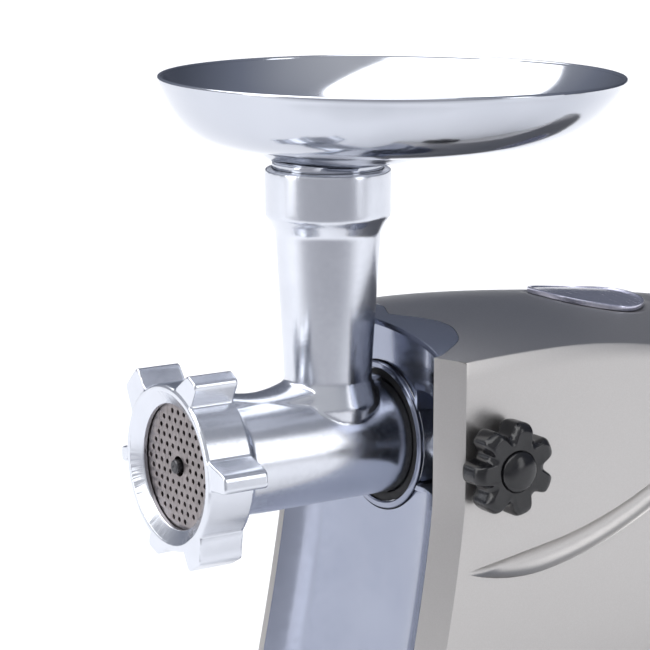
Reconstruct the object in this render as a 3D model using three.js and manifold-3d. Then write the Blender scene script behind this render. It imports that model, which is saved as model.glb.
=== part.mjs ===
// Electric meat grinder with an aluminium grinding head, a feed tray and a geared universal motor.
// Millimetres, +Z up. The working frame has its origin where the barrel axis (Y) crosses the feed
// tube's axis (Z): -Y is the ring nut's end, +X the side of the locking knob.
import * as THREE from 'three';
import Module from 'manifold-3d';
import { mergeVertices } from 'three/addons/utils/BufferGeometryUtils.js';

const wasm = await Module();
wasm.setup();

const gap = 0.3;                     // clearance between touching pieces

// Casing
const barrelHeight = 145;            // barrel axis above the table
const halfWidth = 70;
const wall = 2.6;
const skirtBottom = -135;            // lower edge of the casing
const topStart = 29;                 // where the full side walls begin, behind the cheeks
const shellEnd = 246;
const cornerY = 25;                  // front corner, outer edge of the chamfered strip
const mouthY = 15;                   // front corner, inner edge of the strip
const mouthX = 60;
const coveDepth = 14;
const edgePeak = 47.6;               // height of the side's top edge at its highest
const edgePeakY = 72;

// Grinding head
const barrelRadius = 26;
const boreRadius = 22.5;
const headFront = -76;
const headRear = 56;
const threadRadius = 33.4;
const plateRadius = 31;
const plateFront = -76.5;
const plateThickness = 5;
const holePitch = 5.2;
const holeRadius = 1.5;
const tubeTopRadius = 23.5;
const tubeWaistRadius = 19.3;
const collarRadius = 27.6;
const collarBottom = 102;
const collarTop = 124;

// Ring nut
const ringRadius = 36.5;
const ringFront = -82.5;
const ringRear = -60.5;
const ringOpening = 27.5;

// Tray
const trayRimX = 106.6;
const trayRimY = 102.1;
const trayCentreY = 33;
const trayRimZ = 163;
const trayDepth = 30;
const trayWall = 1.6;

// Drive
const shaftRadius = 9;
const idlerShaftRadius = 2.8;
const motorX = 0;
const motorZ = -55;
const idlerX = 22.23;
const idlerZ = -31.43;
const lowModule = 1.375;             // output gear pair
const highModule = 8.1 / 7;          // motor gear pair
const outputTeeth = 48;
const idlerPinionTeeth = 8;
const idlerTeeth = 49;
const motorPinionTeeth = 7;

// Locking knob
const knobY = 41;
const knobMeanRadius = 17.4;
const knobLobe = 3.6;                // how far a lobe stands out from the mean

// Switch on the left side
const switchY = 96;
const switchZ = -86;

const finishes = {
  castAluminium: { color: 0xb4b9c4, roughness: 0.32, metalness: 1 },
  polished: { color: 0xc3c8d2, roughness: 0.14, metalness: 1 },
  satinCasing: { color: 0xa7a29f, roughness: 0.38, metalness: 0.85 },
  blueGloss: { color: 0x7c8296, roughness: 0.16, metalness: 0.9 },
  plateSteel: { color: 0x6f6a6c, roughness: 0.35, metalness: 1 },
  blackGloss: { color: 0x101215, roughness: 0.25, metalness: 0 },
  blackPlastic: { color: 0x1d1e21, roughness: 0.55, metalness: 0 },
  rubber: { color: 0x141416, roughness: 0.85, metalness: 0 },
  steel: { color: 0x9a9ca0, roughness: 0.3, metalness: 1 },
  copper: { color: 0xb4673a, roughness: 0.35, metalness: 1 },
  bronze: { color: 0xa8854a, roughness: 0.45, metalness: 1 },
  nylon: { color: 0xe3dfd2, roughness: 0.5, metalness: 0 },
  badgeSilver: { color: 0xb9bcd2, roughness: 0.3, metalness: 0.6 },
  redPlastic: { color: 0x9c1a16, roughness: 0.4, metalness: 0 },
};
const paints = Object.fromEntries(
  Object.entries(finishes).map(([name, look]) => [name, new THREE.MeshStandardMaterial(look)]));

const machine = new THREE.Group();

function addPiece(name, geometry, finish) {
  const mesh = new THREE.Mesh(geometry, paints[finish]);
  mesh.name = name;
  machine.add(mesh);
  return mesh;
}

// geometry helpers

// Welded position-only copy with its faces turned outward.
function weld(source) {
  const bare = source.clone();
  for (const key of Object.keys(bare.attributes)) {
    if (key !== 'position') bare.deleteAttribute(key);
  }
  const merged = mergeVertices(bare, 1e-3);
  const index = merged.index.array;
  const at = merged.attributes.position;
  const kept = [];
  const a = new THREE.Vector3();
  const b = new THREE.Vector3();
  const c = new THREE.Vector3();
  let volume = 0;
  for (let i = 0; i < index.length; i += 3) {
    const [p, q, r] = [index[i], index[i + 1], index[i + 2]];
    if (p === q || q === r || r === p) continue;
    kept.push(p, q, r);
    a.fromBufferAttribute(at, p);
    b.fromBufferAttribute(at, q);
    c.fromBufferAttribute(at, r);
    volume += a.dot(b.cross(c));
  }
  if (volume < 0) kept.reverse();
  merged.setIndex(kept);
  return merged;
}

function toSolid(geometry) {
  const merged = weld(geometry);
  return new wasm.Manifold(new wasm.Mesh({
    numProp: 3,
    vertProperties: new Float32Array(merged.attributes.position.array),
    triVerts: new Uint32Array(merged.index.array),
  }));
}

function toGeometry(solid) {
  const mesh = solid.getMesh();
  const geometry = new THREE.BufferGeometry();
  geometry.setAttribute('position', new THREE.BufferAttribute(mesh.vertProperties, 3));
  geometry.setIndex(Array.from(mesh.triVerts));
  geometry.computeVertexNormals();
  return geometry;
}

function join(first, ...others) {
  return others.reduce((sum, next) => sum.add(next), first);
}

function cut(first, ...others) {
  return others.reduce((sum, next) => sum.subtract(next), first);
}

// Turns a shape made about Y so that its axis lies along the named axis.
function alongAxis(geometry, axis) {
  if (axis === 'x') geometry.rotateZ(-Math.PI / 2);
  if (axis === 'z') geometry.rotateX(Math.PI / 2);
  return geometry;
}

// A turned piece: profile points are [radius, place along the axis].
function turned(profile, axis = 'y', segments = 24) {
  const points = profile.map(([radius, along]) => new THREE.Vector2(radius, along));
  return weld(alongAxis(new THREE.LatheGeometry(points, segments), axis));
}

function rod(radius, from, to, axis = 'y', segments = 18) {
  return turned([[0, from], [radius, from], [radius, to], [0, to]], axis, segments);
}

function ring(inner, outer, from, to, axis = 'y', segments = 18) {
  return turned([[inner, from], [outer, from], [outer, to], [inner, to], [inner, from]], axis, segments);
}

function block(x0, x1, y0, y1, z0, z1) {
  const geometry = new THREE.BoxGeometry(x1 - x0, y1 - y0, z1 - z0);
  return geometry.translate((x0 + x1) / 2, (y0 + y1) / 2, (z0 + z1) / 2);
}

// Extrudes a shape drawn in X-Z from y = from to y = to.
function acrossY(shape, from, to, curveSegments = 12) {
  const geometry = new THREE.ExtrudeGeometry(shape, { depth: to - from, bevelEnabled: false, curveSegments });
  return weld(geometry.rotateX(Math.PI / 2).translate(0, to, 0));
}

// Extrudes a shape drawn in X-Y from z = from to z = to.
function upZ(shape, from, to, curveSegments = 12) {
  const geometry = new THREE.ExtrudeGeometry(shape, { depth: to - from, bevelEnabled: false, curveSegments });
  return weld(geometry.translate(0, 0, from));
}

function polygon(points) {
  return new THREE.Shape(points.map(([u, v]) => new THREE.Vector2(u, v)));
}

function roundedRectangle(width, height, radius) {
  const shape = new THREE.Shape();
  const x = width / 2 - radius;
  const y = height / 2 - radius;
  shape.absarc(x, y, radius, 0, Math.PI / 2);
  shape.absarc(-x, y, radius, Math.PI / 2, Math.PI);
  shape.absarc(-x, -y, radius, Math.PI, 1.5 * Math.PI);
  shape.absarc(x, -y, radius, 1.5 * Math.PI, 2 * Math.PI);
  return shape;
}

// Closed skin through rings of equal point count, capped by pairing each ring's points end to end.
// ends 'strip' closes a folded ring (there and back along a wall), 'fan' closes a ring about its middle.
function loft(rings, ends = 'fan') {
  const count = rings[0].length;
  const vertices = rings.flat(2);
  const faces = [];
  for (let level = 0; level + 1 < rings.length; level += 1) {
    for (let i = 0; i < count; i += 1) {
      const next = (i + 1) % count;
      const a = level * count + i;
      const b = level * count + next;
      faces.push(a, b, b + count, a, b + count, a + count);
    }
  }
  const last = (rings.length - 1) * count;
  if (ends === 'strip') {
    for (let i = 0; i + 1 < count / 2; i += 1) {
      const far = count - 1 - i;
      faces.push(i, far, far - 1, i, far - 1, i + 1);
      faces.push(last + i, last + far - 1, last + far, last + i, last + i + 1, last + far - 1);
    }
  } else {
    const hub = rings.length * count;
    for (const level of [rings[0], rings[rings.length - 1]]) {
      vertices.push(...[0, 1, 2].map((k) => level.reduce((sum, point) => sum + point[k], 0) / count));
    }
    for (let i = 0; i < count; i += 1) {
      const next = (i + 1) % count;
      faces.push(hub, next, i);
      faces.push(hub + 1, last + i, last + next);
    }
  }
  const geometry = new THREE.BufferGeometry();
  geometry.setAttribute('position', new THREE.Float32BufferAttribute(vertices, 3));
  geometry.setIndex(faces);
  return weld(geometry);
}

const smooth = (t) => {
  const held = Math.min(1, Math.max(0, t));
  return held * held * (3 - 2 * held);
};

// casing

// How far the front stands forward of its upper part at height z.
const frontFlare = (z) => 14 * Math.max(0, (-15 - z) / 91) ** 1.3;

const sideEdgeZ = (y) => edgePeak - (y < edgePeakY ? 0.0006 : 0.0016) * (y - edgePeakY) ** 2;
const crownRise = (y) => 8.5 + 16.5 * (Math.max(0, y - edgePeakY) / 128) ** 2;
const bodyHalf = (y) => halfWidth - 5 * Math.max(0, (y - 190) / 56) ** 2;
const topZ = (x, y) => sideEdgeZ(y) + crownRise(y) * (1 - (x / bodyHalf(y)) ** 2);

// Plan of the visor: its free front edge, and the two-lobed line where it meets the casing.
const visorFrontY = (x) => 23.2 - 5.2 * (Math.abs(x) / 58) ** 3;
function visorBackY(x) {
  const t = Math.abs(x) / 59.6;
  const lobe = Math.max(0, Math.sin(Math.PI * Math.min(1, t / 0.95)));
  return 33 + 11 * lobe ** 1.3 - 14.2 * Math.max(0, (t - 0.75) / 0.25) ** 2.2;
}

function visorBackLine(offset) {
  const points = [];
  for (let i = -14; i <= 14; i += 1) {
    const x = Math.sign(i) * 59.5 * (Math.abs(i) / 14) ** 0.8;
    points.push([x, visorBackY(x) + offset]);
  }
  return points;
}

// Centre line, half height and depth of the long groove pressed into each side.
function groove(y) {
  const held = Math.min(y, 150);
  const half = 6.2 * Math.max(0.35, smooth((y - 22) / 50));
  const rise = -48.3 + 18.2 * ((held - 45) / 80) ** 2 + 0.597 * Math.max(0, y - 150);
  const centre = Math.min(rise, sideEdgeZ(y) - half - 7);
  const ends = smooth((y - topStart - 2) / 42) * (1 - smooth((y - 150) / 42));
  return { centre, half, depth: 3.2 * ends };
}

// Outline of the casing at station y: up the left side, over the crowned top, down the right side.
function casingOutline(y, grooved = true) {
  const half = bodyHalf(y);
  const edge = sideEdgeZ(y);
  const rise = crownRise(y);
  const { centre, half: band, depth } = groove(y);
  const top = edge - 3;
  const side = [[half, skirtBottom]];
  if (grooved) {
    side.push([half, Math.min(centre - band - 14, -70)], [half, centre - band]);
    for (const [share, along] of [[0.75, -0.5], [1, 0], [0.75, 0.5]]) {
      side.push([half - depth * share, centre + band * along]);
    }
    side.push([half, centre + band], [half, (centre + band + top) / 2]);
  }
  side.push([half, top], [half - 0.9, edge - 0.7]);
  const crown = [];
  for (let i = -3; i <= 3; i += 1) {
    const u = i / 3.4;
    crown.push([u * half, edge + rise * (1 - u * u)]);
  }
  const left = side.map(([x, z]) => [-x, z]);
  return [...left, ...crown, ...side.reverse()];
}

// The same outline moved inward by the wall thickness.
function innerOutline(outline, thickness) {
  return outline.map(([x, z], i) => {
    const before = outline[Math.max(0, i - 1)];
    const after = outline[Math.min(outline.length - 1, i + 1)];
    const along = new THREE.Vector2(after[0] - before[0], after[1] - before[1]).normalize();
    const held = i === 0 || i === outline.length - 1;
    return [x + along.y * thickness, held ? z : z - along.x * thickness];
  });
}

function casingRing(y, thickness) {
  const outer = casingOutline(y);
  const inner = innerOutline(outer, thickness);
  return [...outer, ...inner.reverse()].map(([x, z]) => [x, y, z]);
}

// Cheek that carries the side forward to the chamfered front corner; side is 1 or -1.
function cheek(side) {
  const rings = [];
  for (const z of [skirtBottom, -110, -85, -60, -35, -15, sideEdgeZ(mouthY) - 3]) {
    const out = frontFlare(z);
    rings.push([
      [halfWidth, topStart + 2], [halfWidth, cornerY - out], [mouthX, mouthY - out],
      [mouthX - 0.2, mouthY + 2.4 - out], [halfWidth - wall + 0.5, cornerY + 1.9 - out],
      [halfWidth - wall + 0.5, topStart + 2],
    ].map(([x, y]) => [side * x, y, z]));
  }
  return loft(rings, 'strip');
}

function mainShell() {
  const rings = [15, topStart + 2, 44, 60, 80, 100, 122, 144, 164, 184, 204, 226, shellEnd];
  const arch = toSolid(loft(rings.map((y) => casingRing(y, wall)), 'strip'));
  const browLevel = 30;
  const belowBrow = block(-80, 80, 0, topStart, -150, browLevel);
  const frontVoid = upZ(polygon([[-80, 5], [80, 5], [80, cornerY + 10], [mouthX, mouthY],
    ...visorBackLine(gap).reverse(), [-mouthX, mouthY], [-80, cornerY + 10]]), browLevel - 1, 80);
  const switchHole = block(-75, -60, switchY - 16.5, switchY + 16.5, switchZ - 11.5, switchZ + 11.5);
  const front = cut(arch, toSolid(belowBrow), toSolid(frontVoid));
  const solid = cut(
    join(front, toSolid(cheek(1)), toSolid(cheek(-1))),
    toSolid(rod(4.2, 60, 80, 'x').translate(0, knobY, 0)),
    toSolid(switchHole),
  );
  return toGeometry(solid);
}

// Domed panel that closes the casing's rear, with ventilation slots, cord hole and reset hole.
function rearCover() {
  const outline = casingOutline(shellEnd, false);
  const middleZ = -50;
  const inset = (by, out) => outline.map(([x, z]) =>
    [x * (1 - by / 65), shellEnd + out, middleZ + (z - middleZ) * (1 - by / 86)]);
  const outer = [[0, gap], [0, 4], [3, 9], [9, 13]].map(([by, out]) => inset(by, out));
  const inner = [[wall, -1], [3.4, 4.6], [6, 8.2], [11, 10.4]].map(([by, out]) => inset(by, out));
  const shell = cut(toSolid(loft(outer)), toSolid(loft(inner)));
  const slots = [];
  for (let i = 0; i < 7; i += 1) {
    const z = -52 + i * 9;
    slots.push(toSolid(block(-34, 34, shellEnd + 3, shellEnd + 20, z, z + 4)));
  }
  const cordHole = toSolid(rod(7.3, shellEnd + 2, shellEnd + 20).translate(34, 0, -104));
  const resetHole = toSolid(rod(5.3, shellEnd + 2, shellEnd + 20).translate(-34, 0, -104));
  return toGeometry(cut(shell, ...slots, cordHole, resetHole));
}

// Coved front panel with a visor over it, the socket hole and the slot for the locking screw.
function frontCover() {
  const edge = mouthX - 0.6;
  const span = 6;
  const coveY = (x, z) => mouthY + gap - frontFlare(z) + coveDepth * (1 - Math.abs(x / mouthX) ** 4);
  const coveRing = (z, underSkin) => {
    const front = [];
    const back = [];
    for (let i = -span; i <= span; i += 1) {
      const x = Math.sign(i) * edge * (Math.abs(i) / span) ** 0.8;
      const y = coveY(x, z);
      front.push([x, y, underSkin ? topZ(x, y) - 1.6 : z]);
      back.push([x, y + wall, underSkin ? topZ(x, y) - 1.6 : z]);
    }
    return [...front, ...back.reverse()];
  };
  const rings = [skirtBottom + 0.5, -110, -85, -60, -35, -15, 40].map((z) => coveRing(z, false));
  rings.push(coveRing(0, true));
  const panel = toSolid(loft(rings, 'strip'));
  const skin = toSolid(loft([15, 30, 47].map((y) => casingRing(y, wall)), 'strip'));
  const frontLine = [];
  for (let i = -7; i <= 7; i += 1) frontLine.push([(i / 7) * 59.3, visorFrontY((i / 7) * 59.3)]);
  const plan = upZ(polygon([...frontLine, ...visorBackLine(0).reverse()]), 36, 80);
  const visor = skin.intersect(toSolid(plan));
  const slotWindow = acrossY(polygon([[30, -17], [56, -17], [56, 27], [30, 27]]), 10, 48.6);
  const pocketShape = polygon([[28, -19.4], [56.4, -19.4], [56.4, 29.4], [28, 29.4]]);
  const pocket = cut(toSolid(acrossY(pocketShape, 27.5, 51)), toSolid(slotWindow));
  const solid = cut(
    join(cut(join(panel, visor), toSolid(slotWindow)), pocket),
    toSolid(rod(34.5, 10, 60, 'y', 36)),
    toSolid(rod(10, 20, 70, 'x').translate(0, knobY, 0)),
  );
  return toGeometry(solid);
}

function basePlate() {
  const half = (y) => bodyHalf(y) - wall - 1;
  const right = [13, 190, 214, 241].map((y) => [half(y), y]);
  const left = right.map(([x, y]) => [-x, y]).reverse();
  const plate = toSolid(upZ(polygon([...right, ...left]), -136, -133));
  const holes = [];
  for (const [x, y] of footPlaces) holes.push(toSolid(rod(2.6, -140, -130, 'z', 12).translate(x, y, 0)));
  return toGeometry(cut(plate, ...holes));
}

const footPlaces = [[-50, 30], [50, 30], [-50, 224], [50, 224]];
const footBottom = -barrelHeight;

function foot() {
  return turned([[2.6, -136.3], [2.6, -140.3], [5.4, -140.3], [5.4, footBottom], [11.4, footBottom],
    [12.6, -136.3], [2.6, -136.3]], 'z', 14);
}

function footScrew() {
  return turned([[0, -143.6], [3.2, -143.6], [4.8, -142], [4.8, -140.6], [2.2, -140.6], [2.2, -127],
    [0, -127]], 'z', 10);
}

// Plain oblong plate set on the crowned top.
function topBadge() {
  const rings = [];
  for (let i = 0; i <= 6; i += 1) {
    const x = -42 + i * 14;
    const rim = (y) => topZ(x, y);
    const inset = i === 0 || i === 6 ? 5 : 0;
    const [front, mid, back] = [121 + inset, 146, 171 - inset];
    rings.push([
      [x, front, rim(front) + 0.4], [x, mid, rim(mid) + 0.4], [x, back, rim(back) + 0.4],
      [x, back, rim(back) + 2], [x, mid, rim(mid) + 2], [x, front, rim(front) + 2],
    ]);
  }
  return loft(rings, 'strip');
}

// grinding head

function feedTubeRadius(z) {
  return tubeWaistRadius + (tubeTopRadius - tubeWaistRadius) * Math.max(0, (z - 26) / 75) ** 1.1;
}

// Barrel, feed tube with collar and the saddle rib between tube and ring, bored through.
function grinderHead() {
  const barrel = turned([[0, headRear], [24.4, headRear], [24.4, 50], [barrelRadius, 49],
    [barrelRadius, -54], [threadRadius, -59], [threadRadius, headFront], [0, headFront]], 'y', 36);
  const tubeSide = [[0, 0]];
  for (const z of [0, 22, 27, 50, collarBottom - 2]) {
    const fillet = 5 * Math.max(0, (32 - z) / 12) ** 2 * (z > 0 ? 1 : 0);
    tubeSide.push([feedTubeRadius(z) + Math.min(fillet, 5), z]);
  }
  tubeSide.push([collarRadius - 2.4, collarBottom - 1.6], [collarRadius, collarBottom + 1.5]);
  tubeSide.push([collarRadius, collarTop], [0, collarTop]);
  const tube = turned(tubeSide, 'z', 28);
  const saddleRings = [];
  for (let i = 0; i <= 4; i += 1) {
    const t = i / 4;
    const y = -57 + t * 42;
    const height = 30.5 - 3.2 * Math.sin(Math.PI * t);
    const width = 9 + 6 * t * t;
    saddleRings.push([
      [-width, y, 15], [-width * 0.8, y, height - 5], [-width * 0.4, y, height - 1], [0, y, height],
      [width * 0.4, y, height - 1], [width * 0.8, y, height - 5], [width, y, 15],
    ]);
  }
  const saddle = toSolid(loft(saddleRings));
  const stop = toSolid(block(-5, 5, 21, 26.2, 24, 29));
  const body = join(toSolid(barrel), toSolid(tube), saddle, stop);
  const bore = turned([[0, 70], [9.4, 70], [9.4, 48], [boreRadius, 48], [boreRadius, -66],
    [plateRadius + 0.5, -66], [plateRadius + 0.5, -90], [0, -90]], 'y', 36);
  const feed = turned([[0, 0], [16, 0], [16, 30], [20.2, collarBottom], [20.2, 105], [24.8, 105], [24.8, 130],
    [0, 130]], 'z', 28);
  return toGeometry(cut(body, toSolid(bore), toSolid(feed)));
}

// Helical flight wound on the auger's core.
function auger() {
  const start = -61;
  const end = 45;
  const pitch = 26;
  const stepsPerTurn = 11;
  const steps = Math.round(((end - start) / pitch) * stepsPerTurn);
  const rings = [];
  for (let i = 0; i <= steps; i += 1) {
    const y = start + 2 + ((end - start - 4) * i) / steps;
    const angle = (2 * Math.PI * i) / stepsPerTurn;
    const fade = Math.min(1, (steps - i) / 8 + 0.35);
    const outer = 21.4 * (0.55 + 0.45 * Math.min(1, i / 3 + 0.4)) * Math.min(1, fade + 0.2);
    rings.push([[5, -1.9], [outer, -0.9], [outer, 0.9], [5, 1.9]].map(([radius, along]) =>
      [radius * Math.cos(angle), y + along, radius * Math.sin(angle)]));
  }
  const core = turned([[0, start], [9, start], [8, start + 6], [11.5, end], [16, end + 1.5],
    [0, end + 1.5]], 'y', 18);
  const squareHole = block(-3.4, 3.4, -70, -52, -3.4, 3.4);
  const rearHole = block(-4.3, 4.3, 30, 60, -4.3, 4.3);
  return toGeometry(cut(join(toSolid(core), toSolid(loft(rings))), toSolid(squareHole), toSolid(rearHole)));
}

// Front stud: square seat for the knife, round pin for the plate.
function augerStud() {
  const square = block(-3.1, 3.1, -71, -52.5, -3.1, 3.1);
  const pin = turned([[0, -79], [2.6, -79], [3.4, -78.2], [3.4, -70.5], [0, -70.5]], 'y', 16);
  return toGeometry(join(toSolid(square), toSolid(pin)));
}

// Square drive tang that enters the output shaft, with the round journal that runs in the head's rear.
function driveTang() {
  const square = block(-4, 4, 31, 66, -4, 4);
  const journal = turned([[0, 48.6], [8.9, 48.6], [8.9, 56.2], [0, 56.2]], 'y', 24);
  return toGeometry(join(toSolid(square), toSolid(journal)));
}

function crossBlade() {
  const shape = new THREE.Shape();
  const arms = 4;
  for (let i = 0; i < arms; i += 1) {
    const turn = (i * Math.PI) / 2;
    const at = (radius, offset) => [
      radius * Math.cos(turn) - offset * Math.sin(turn), radius * Math.sin(turn) + offset * Math.cos(turn)];
    const corners = [at(9, -7), at(25, -5), at(27.5, -1), at(26.5, 3.4), at(9, 4.6)];
    if (i === 0) shape.moveTo(...corners[0]);
    corners.forEach((corner) => shape.lineTo(...corner));
  }
  const blade = toSolid(acrossY(shape, -71, -66.6));
  const hub = toSolid(rod(9, -71, -64.5, 'y', 24));
  return toGeometry(cut(join(blade, hub), toSolid(block(-3.5, 3.5, -75, -60, -3.5, 3.5))));
}

function thrustWasher() {
  return ring(9.3, 14, 46.9, 47.7, 'y', 24);
}

// Perforated plate: staggered rows of round holes and a centre hole for the stud's pin.
function grindingPlate() {
  const from = plateFront - 1;
  const to = plateFront + plateThickness + 1;
  const rowStep = (holePitch * Math.sqrt(3)) / 2;
  const holes = [toSolid(rod(3.9, from, to, 'y', 12))];
  for (let row = -6; row <= 6; row += 1) {
    for (let column = -7; column <= 7; column += 1) {
      const x = (column + (Math.abs(row) % 2) / 2) * holePitch;
      const z = row * rowStep;
      const reach = Math.hypot(x, z);
      if (reach > 26.6 || reach < 6.4) continue;
      holes.push(toSolid(rod(holeRadius, from, to, 'y', 5).translate(x, 0, z)));
    }
  }
  const disc = toSolid(rod(plateRadius, plateFront, plateFront + plateThickness, 'y', 36));
  return toGeometry(cut(disc, ...holes));
}

// Angle, half width, tip radius and lean of each grip lug, seen from the front (+X right, +Z up).
const lugs = [
  { angle: 4, half: 5.5, tip: 48.6, lean: 5 },
  { angle: 64, half: 6, tip: 47.6, lean: 7 },
  { angle: 134, half: 10, tip: 47.6, lean: 5 },
  { angle: 184, half: 5.5, tip: 42.5, lean: -4 },
  { angle: 251, half: 7.5, tip: 42.8, lean: 5 },
  { angle: 300, half: 8.5, tip: 45.4, lean: 8 },
];

function ringNut() {
  const body = toSolid(turned([
    [threadRadius + 0.5, ringRear], [ringRadius - 0.8, ringRear], [ringRadius, ringRear - 1.2],
    [ringRadius, ringFront + 1], [ringRadius - 1, ringFront], [33.6, ringFront],
    [ringOpening, ringFront + 3.6],
    [ringOpening, plateFront - 0.4], [threadRadius + 0.5, plateFront - 0.4], [threadRadius + 0.5, ringRear],
  ], 'y', 36));
  const parts = lugs.map(({ angle, half, tip, lean }) => {
    const place = (radius, degrees) => {
      const turn = THREE.MathUtils.degToRad(angle + degrees);
      return [radius * Math.cos(turn), radius * Math.sin(turn)];
    };
    const shape = polygon([
      place(34.6, -half - 3), place(37.4, -half - 1), place(tip - 1.6, -half), place(tip, 1.5 - half),
      place(tip, half - 2.5), place(tip - 2.4, half - 0.4), place(38.4, half + lean),
      place(34.6, half + lean + 5),
    ]);
    return toSolid(acrossY(shape, ringFront + 0.6, ringRear - 0.2));
  });
  const cleared = rod(34.6, -90, -50, 'y', 36);
  return toGeometry(join(body, ...parts.map((lug) => cut(lug, toSolid(cleared)))));
}

// Oval bowl whose sections slide back from the neck to the rim.
function tray() {
  const sides = 36;
  const bowlZ = (rho) => trayRimZ - trayDepth * (1 - rho ** 7) ** 0.96 - 6 * smooth((0.46 - rho) / 0.2);
  const centreY = (rho) => trayCentreY * Math.max(0, (rho - 0.24) / 0.76) ** 0.71;
  const oval = (rho, z, shrink) => {
    const points = [];
    for (let i = 0; i < sides; i += 1) {
      const turn = (2 * Math.PI * i) / sides;
      points.push([
        (trayRimX * rho - shrink) * Math.cos(turn),
        centreY(rho) + (trayRimY * rho - shrink) * Math.sin(turn),
        z,
      ]);
    }
    return points;
  };
  const round = (radius, z) => Array.from({ length: sides }, (_, i) => {
    const turn = (2 * Math.PI * i) / sides;
    return [radius * Math.cos(turn), radius * Math.sin(turn), z];
  });
  const stations = [0.3, 0.44, 0.62, 0.8, 0.92, 0.98];
  const rings = [round(21.6, 106), round(24.4, 106), round(24.4, collarTop + 0.8)];
  for (const rho of stations) rings.push(oval(rho, bowlZ(rho), 0));
  rings.push(oval(1, trayRimZ - 1.2, 0), oval(1, trayRimZ, 0.9), oval(1, trayRimZ - 1.2, trayWall + 0.4));
  for (const rho of [...stations].reverse()) rings.push(oval(rho, bowlZ(rho) + trayWall, trayWall * rho));
  rings.push(round(21.6, collarTop + 2.4));
  const vertices = rings.flat(2);
  const faces = [];
  for (let level = 0; level < rings.length; level += 1) {
    const nextLevel = (level + 1) % rings.length;
    for (let i = 0; i < sides; i += 1) {
      const next = (i + 1) % sides;
      const [a, b] = [level * sides + i, level * sides + next];
      const [c, d] = [nextLevel * sides + next, nextLevel * sides + i];
      faces.push(a, b, c, a, c, d);
    }
  }
  const geometry = new THREE.BufferGeometry();
  geometry.setAttribute('position', new THREE.Float32BufferAttribute(vertices, 3));
  geometry.setIndex(faces);
  return weld(geometry);
}

// locking knob

function knob() {
  const lobes = 7;
  const steps = 56;
  const outline = [];
  for (let i = 0; i < steps; i += 1) {
    const turn = (2 * Math.PI * i) / steps;
    const wave = Math.cos(lobes * turn);
    outline.push([turn, knobMeanRadius + knobLobe * Math.tanh(2.2 * wave) / Math.tanh(2.2)]);
  }
  const levels = [[73, -1.6], [75, 0], [83.4, 0], [86.8, -2.6]];
  const rings = levels.map(([x, inset]) => outline.map(([turn, radius]) =>
    [x, knobY + (radius + inset) * Math.cos(turn), (radius + inset) * Math.sin(turn)]));
  const bore = rod(3.3, 60, 84, 'x', 16).translate(0, knobY, 0);
  const capSeat = rod(9.4, 84.6, 95, 'x', 20).translate(0, knobY, 0);
  return toGeometry(cut(toSolid(loft(rings)), toSolid(bore), toSolid(capSeat)));
}

function knobCap() {
  return turned([[0, 84.9], [9, 84.9], [9, 87.6], [7.4, 89.3], [4.2, 90.4], [0, 90.8]], 'x', 20)
    .translate(0, knobY, 0);
}

function lockScrew() {
  return rod(3, 31.2, 83.6, 'x', 16).translate(0, knobY, 0);
}

function clampShoe() {
  return turned([[0, 26.4], [3.6, 26.4], [4.2, 27], [4.2, 30.9], [0, 30.9]], 'x', 16).translate(0, knobY, 0);
}

// socket and gearbox

function socketRing() {
  const section = [[28.2, 26.6], [32.3, 26.6], [33.9, 27.6], [33.9, 28.7], [28.2, 28.7], [28.2, 26.6]];
  return turned(section, 'y', 36);
}

function socketGasket() {
  return ring(26.4, 27.6, 30, 34, 'y', 28);
}

// Cup that takes the head's rear: tube, back wall with the shaft's bore, flange and screw boss.
function headSocket() {
  const cup = turned([[9.4, 60], [27.9, 60], [27.9, 29], [33.4, 29], [33.4, 58], [44, 60], [44, 64],
    [9.4, 64], [9.4, 60]], 'y', 32);
  const boss = rod(9, 30, 55.6, 'x', 24).translate(0, knobY, 0);
  const screwBore = rod(4.6, 20, 60, 'x', 16).translate(0, knobY, 0);
  const clear = rod(27.9, 20, 59, 'y', 32);
  return toGeometry(cut(toSolid(cup).add(cut(toSolid(boss), toSolid(clear))), toSolid(screwBore)));
}

const caseOutline = () => polygon([[-42, -30], [-24, -72], [28, -72], [56, -50], [56, -12], [30, 38],
  [-24, 38], [-42, 20]]);
const caseInside = () => polygon([[-39, -29], [-22, -69], [27, -69], [53, -48.6], [53, -13], [28.2, 35],
  [-22.6, 35], [-39, 18.6]]);

function gearCase() {
  const body = toSolid(acrossY(caseOutline(), 69.3, 100));
  const hollow = toSolid(acrossY(caseInside(), 60, 97));
  return toGeometry(cut(body, hollow,
    toSolid(rod(8.3, 90, 105)),
    toSolid(rod(7.3, 90, 105).translate(idlerX, 0, idlerZ)),
    toSolid(rod(6, 90, 105).translate(motorX, 0, motorZ))));
}

function gearCaseCover() {
  return toGeometry(cut(toSolid(acrossY(caseOutline(), 64.4, 69)),
    toSolid(rod(13.3, 60, 75)),
    toSolid(rod(7.3, 60, 75).translate(idlerX, 0, idlerZ))));
}

// Half angle of a tooth at a radius, for an involute flank.
function toothHalfAngle(radius, pitchRadius, teeth, pressure) {
  const base = pitchRadius * Math.cos(pressure);
  const involute = (angle) => Math.tan(angle) - angle;
  const slope = Math.acos(Math.min(1, base / Math.max(radius, base)));
  const thin = 0.88;
  return (Math.PI / (2 * teeth)) * thin + involute(pressure) - involute(slope);
}

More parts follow.
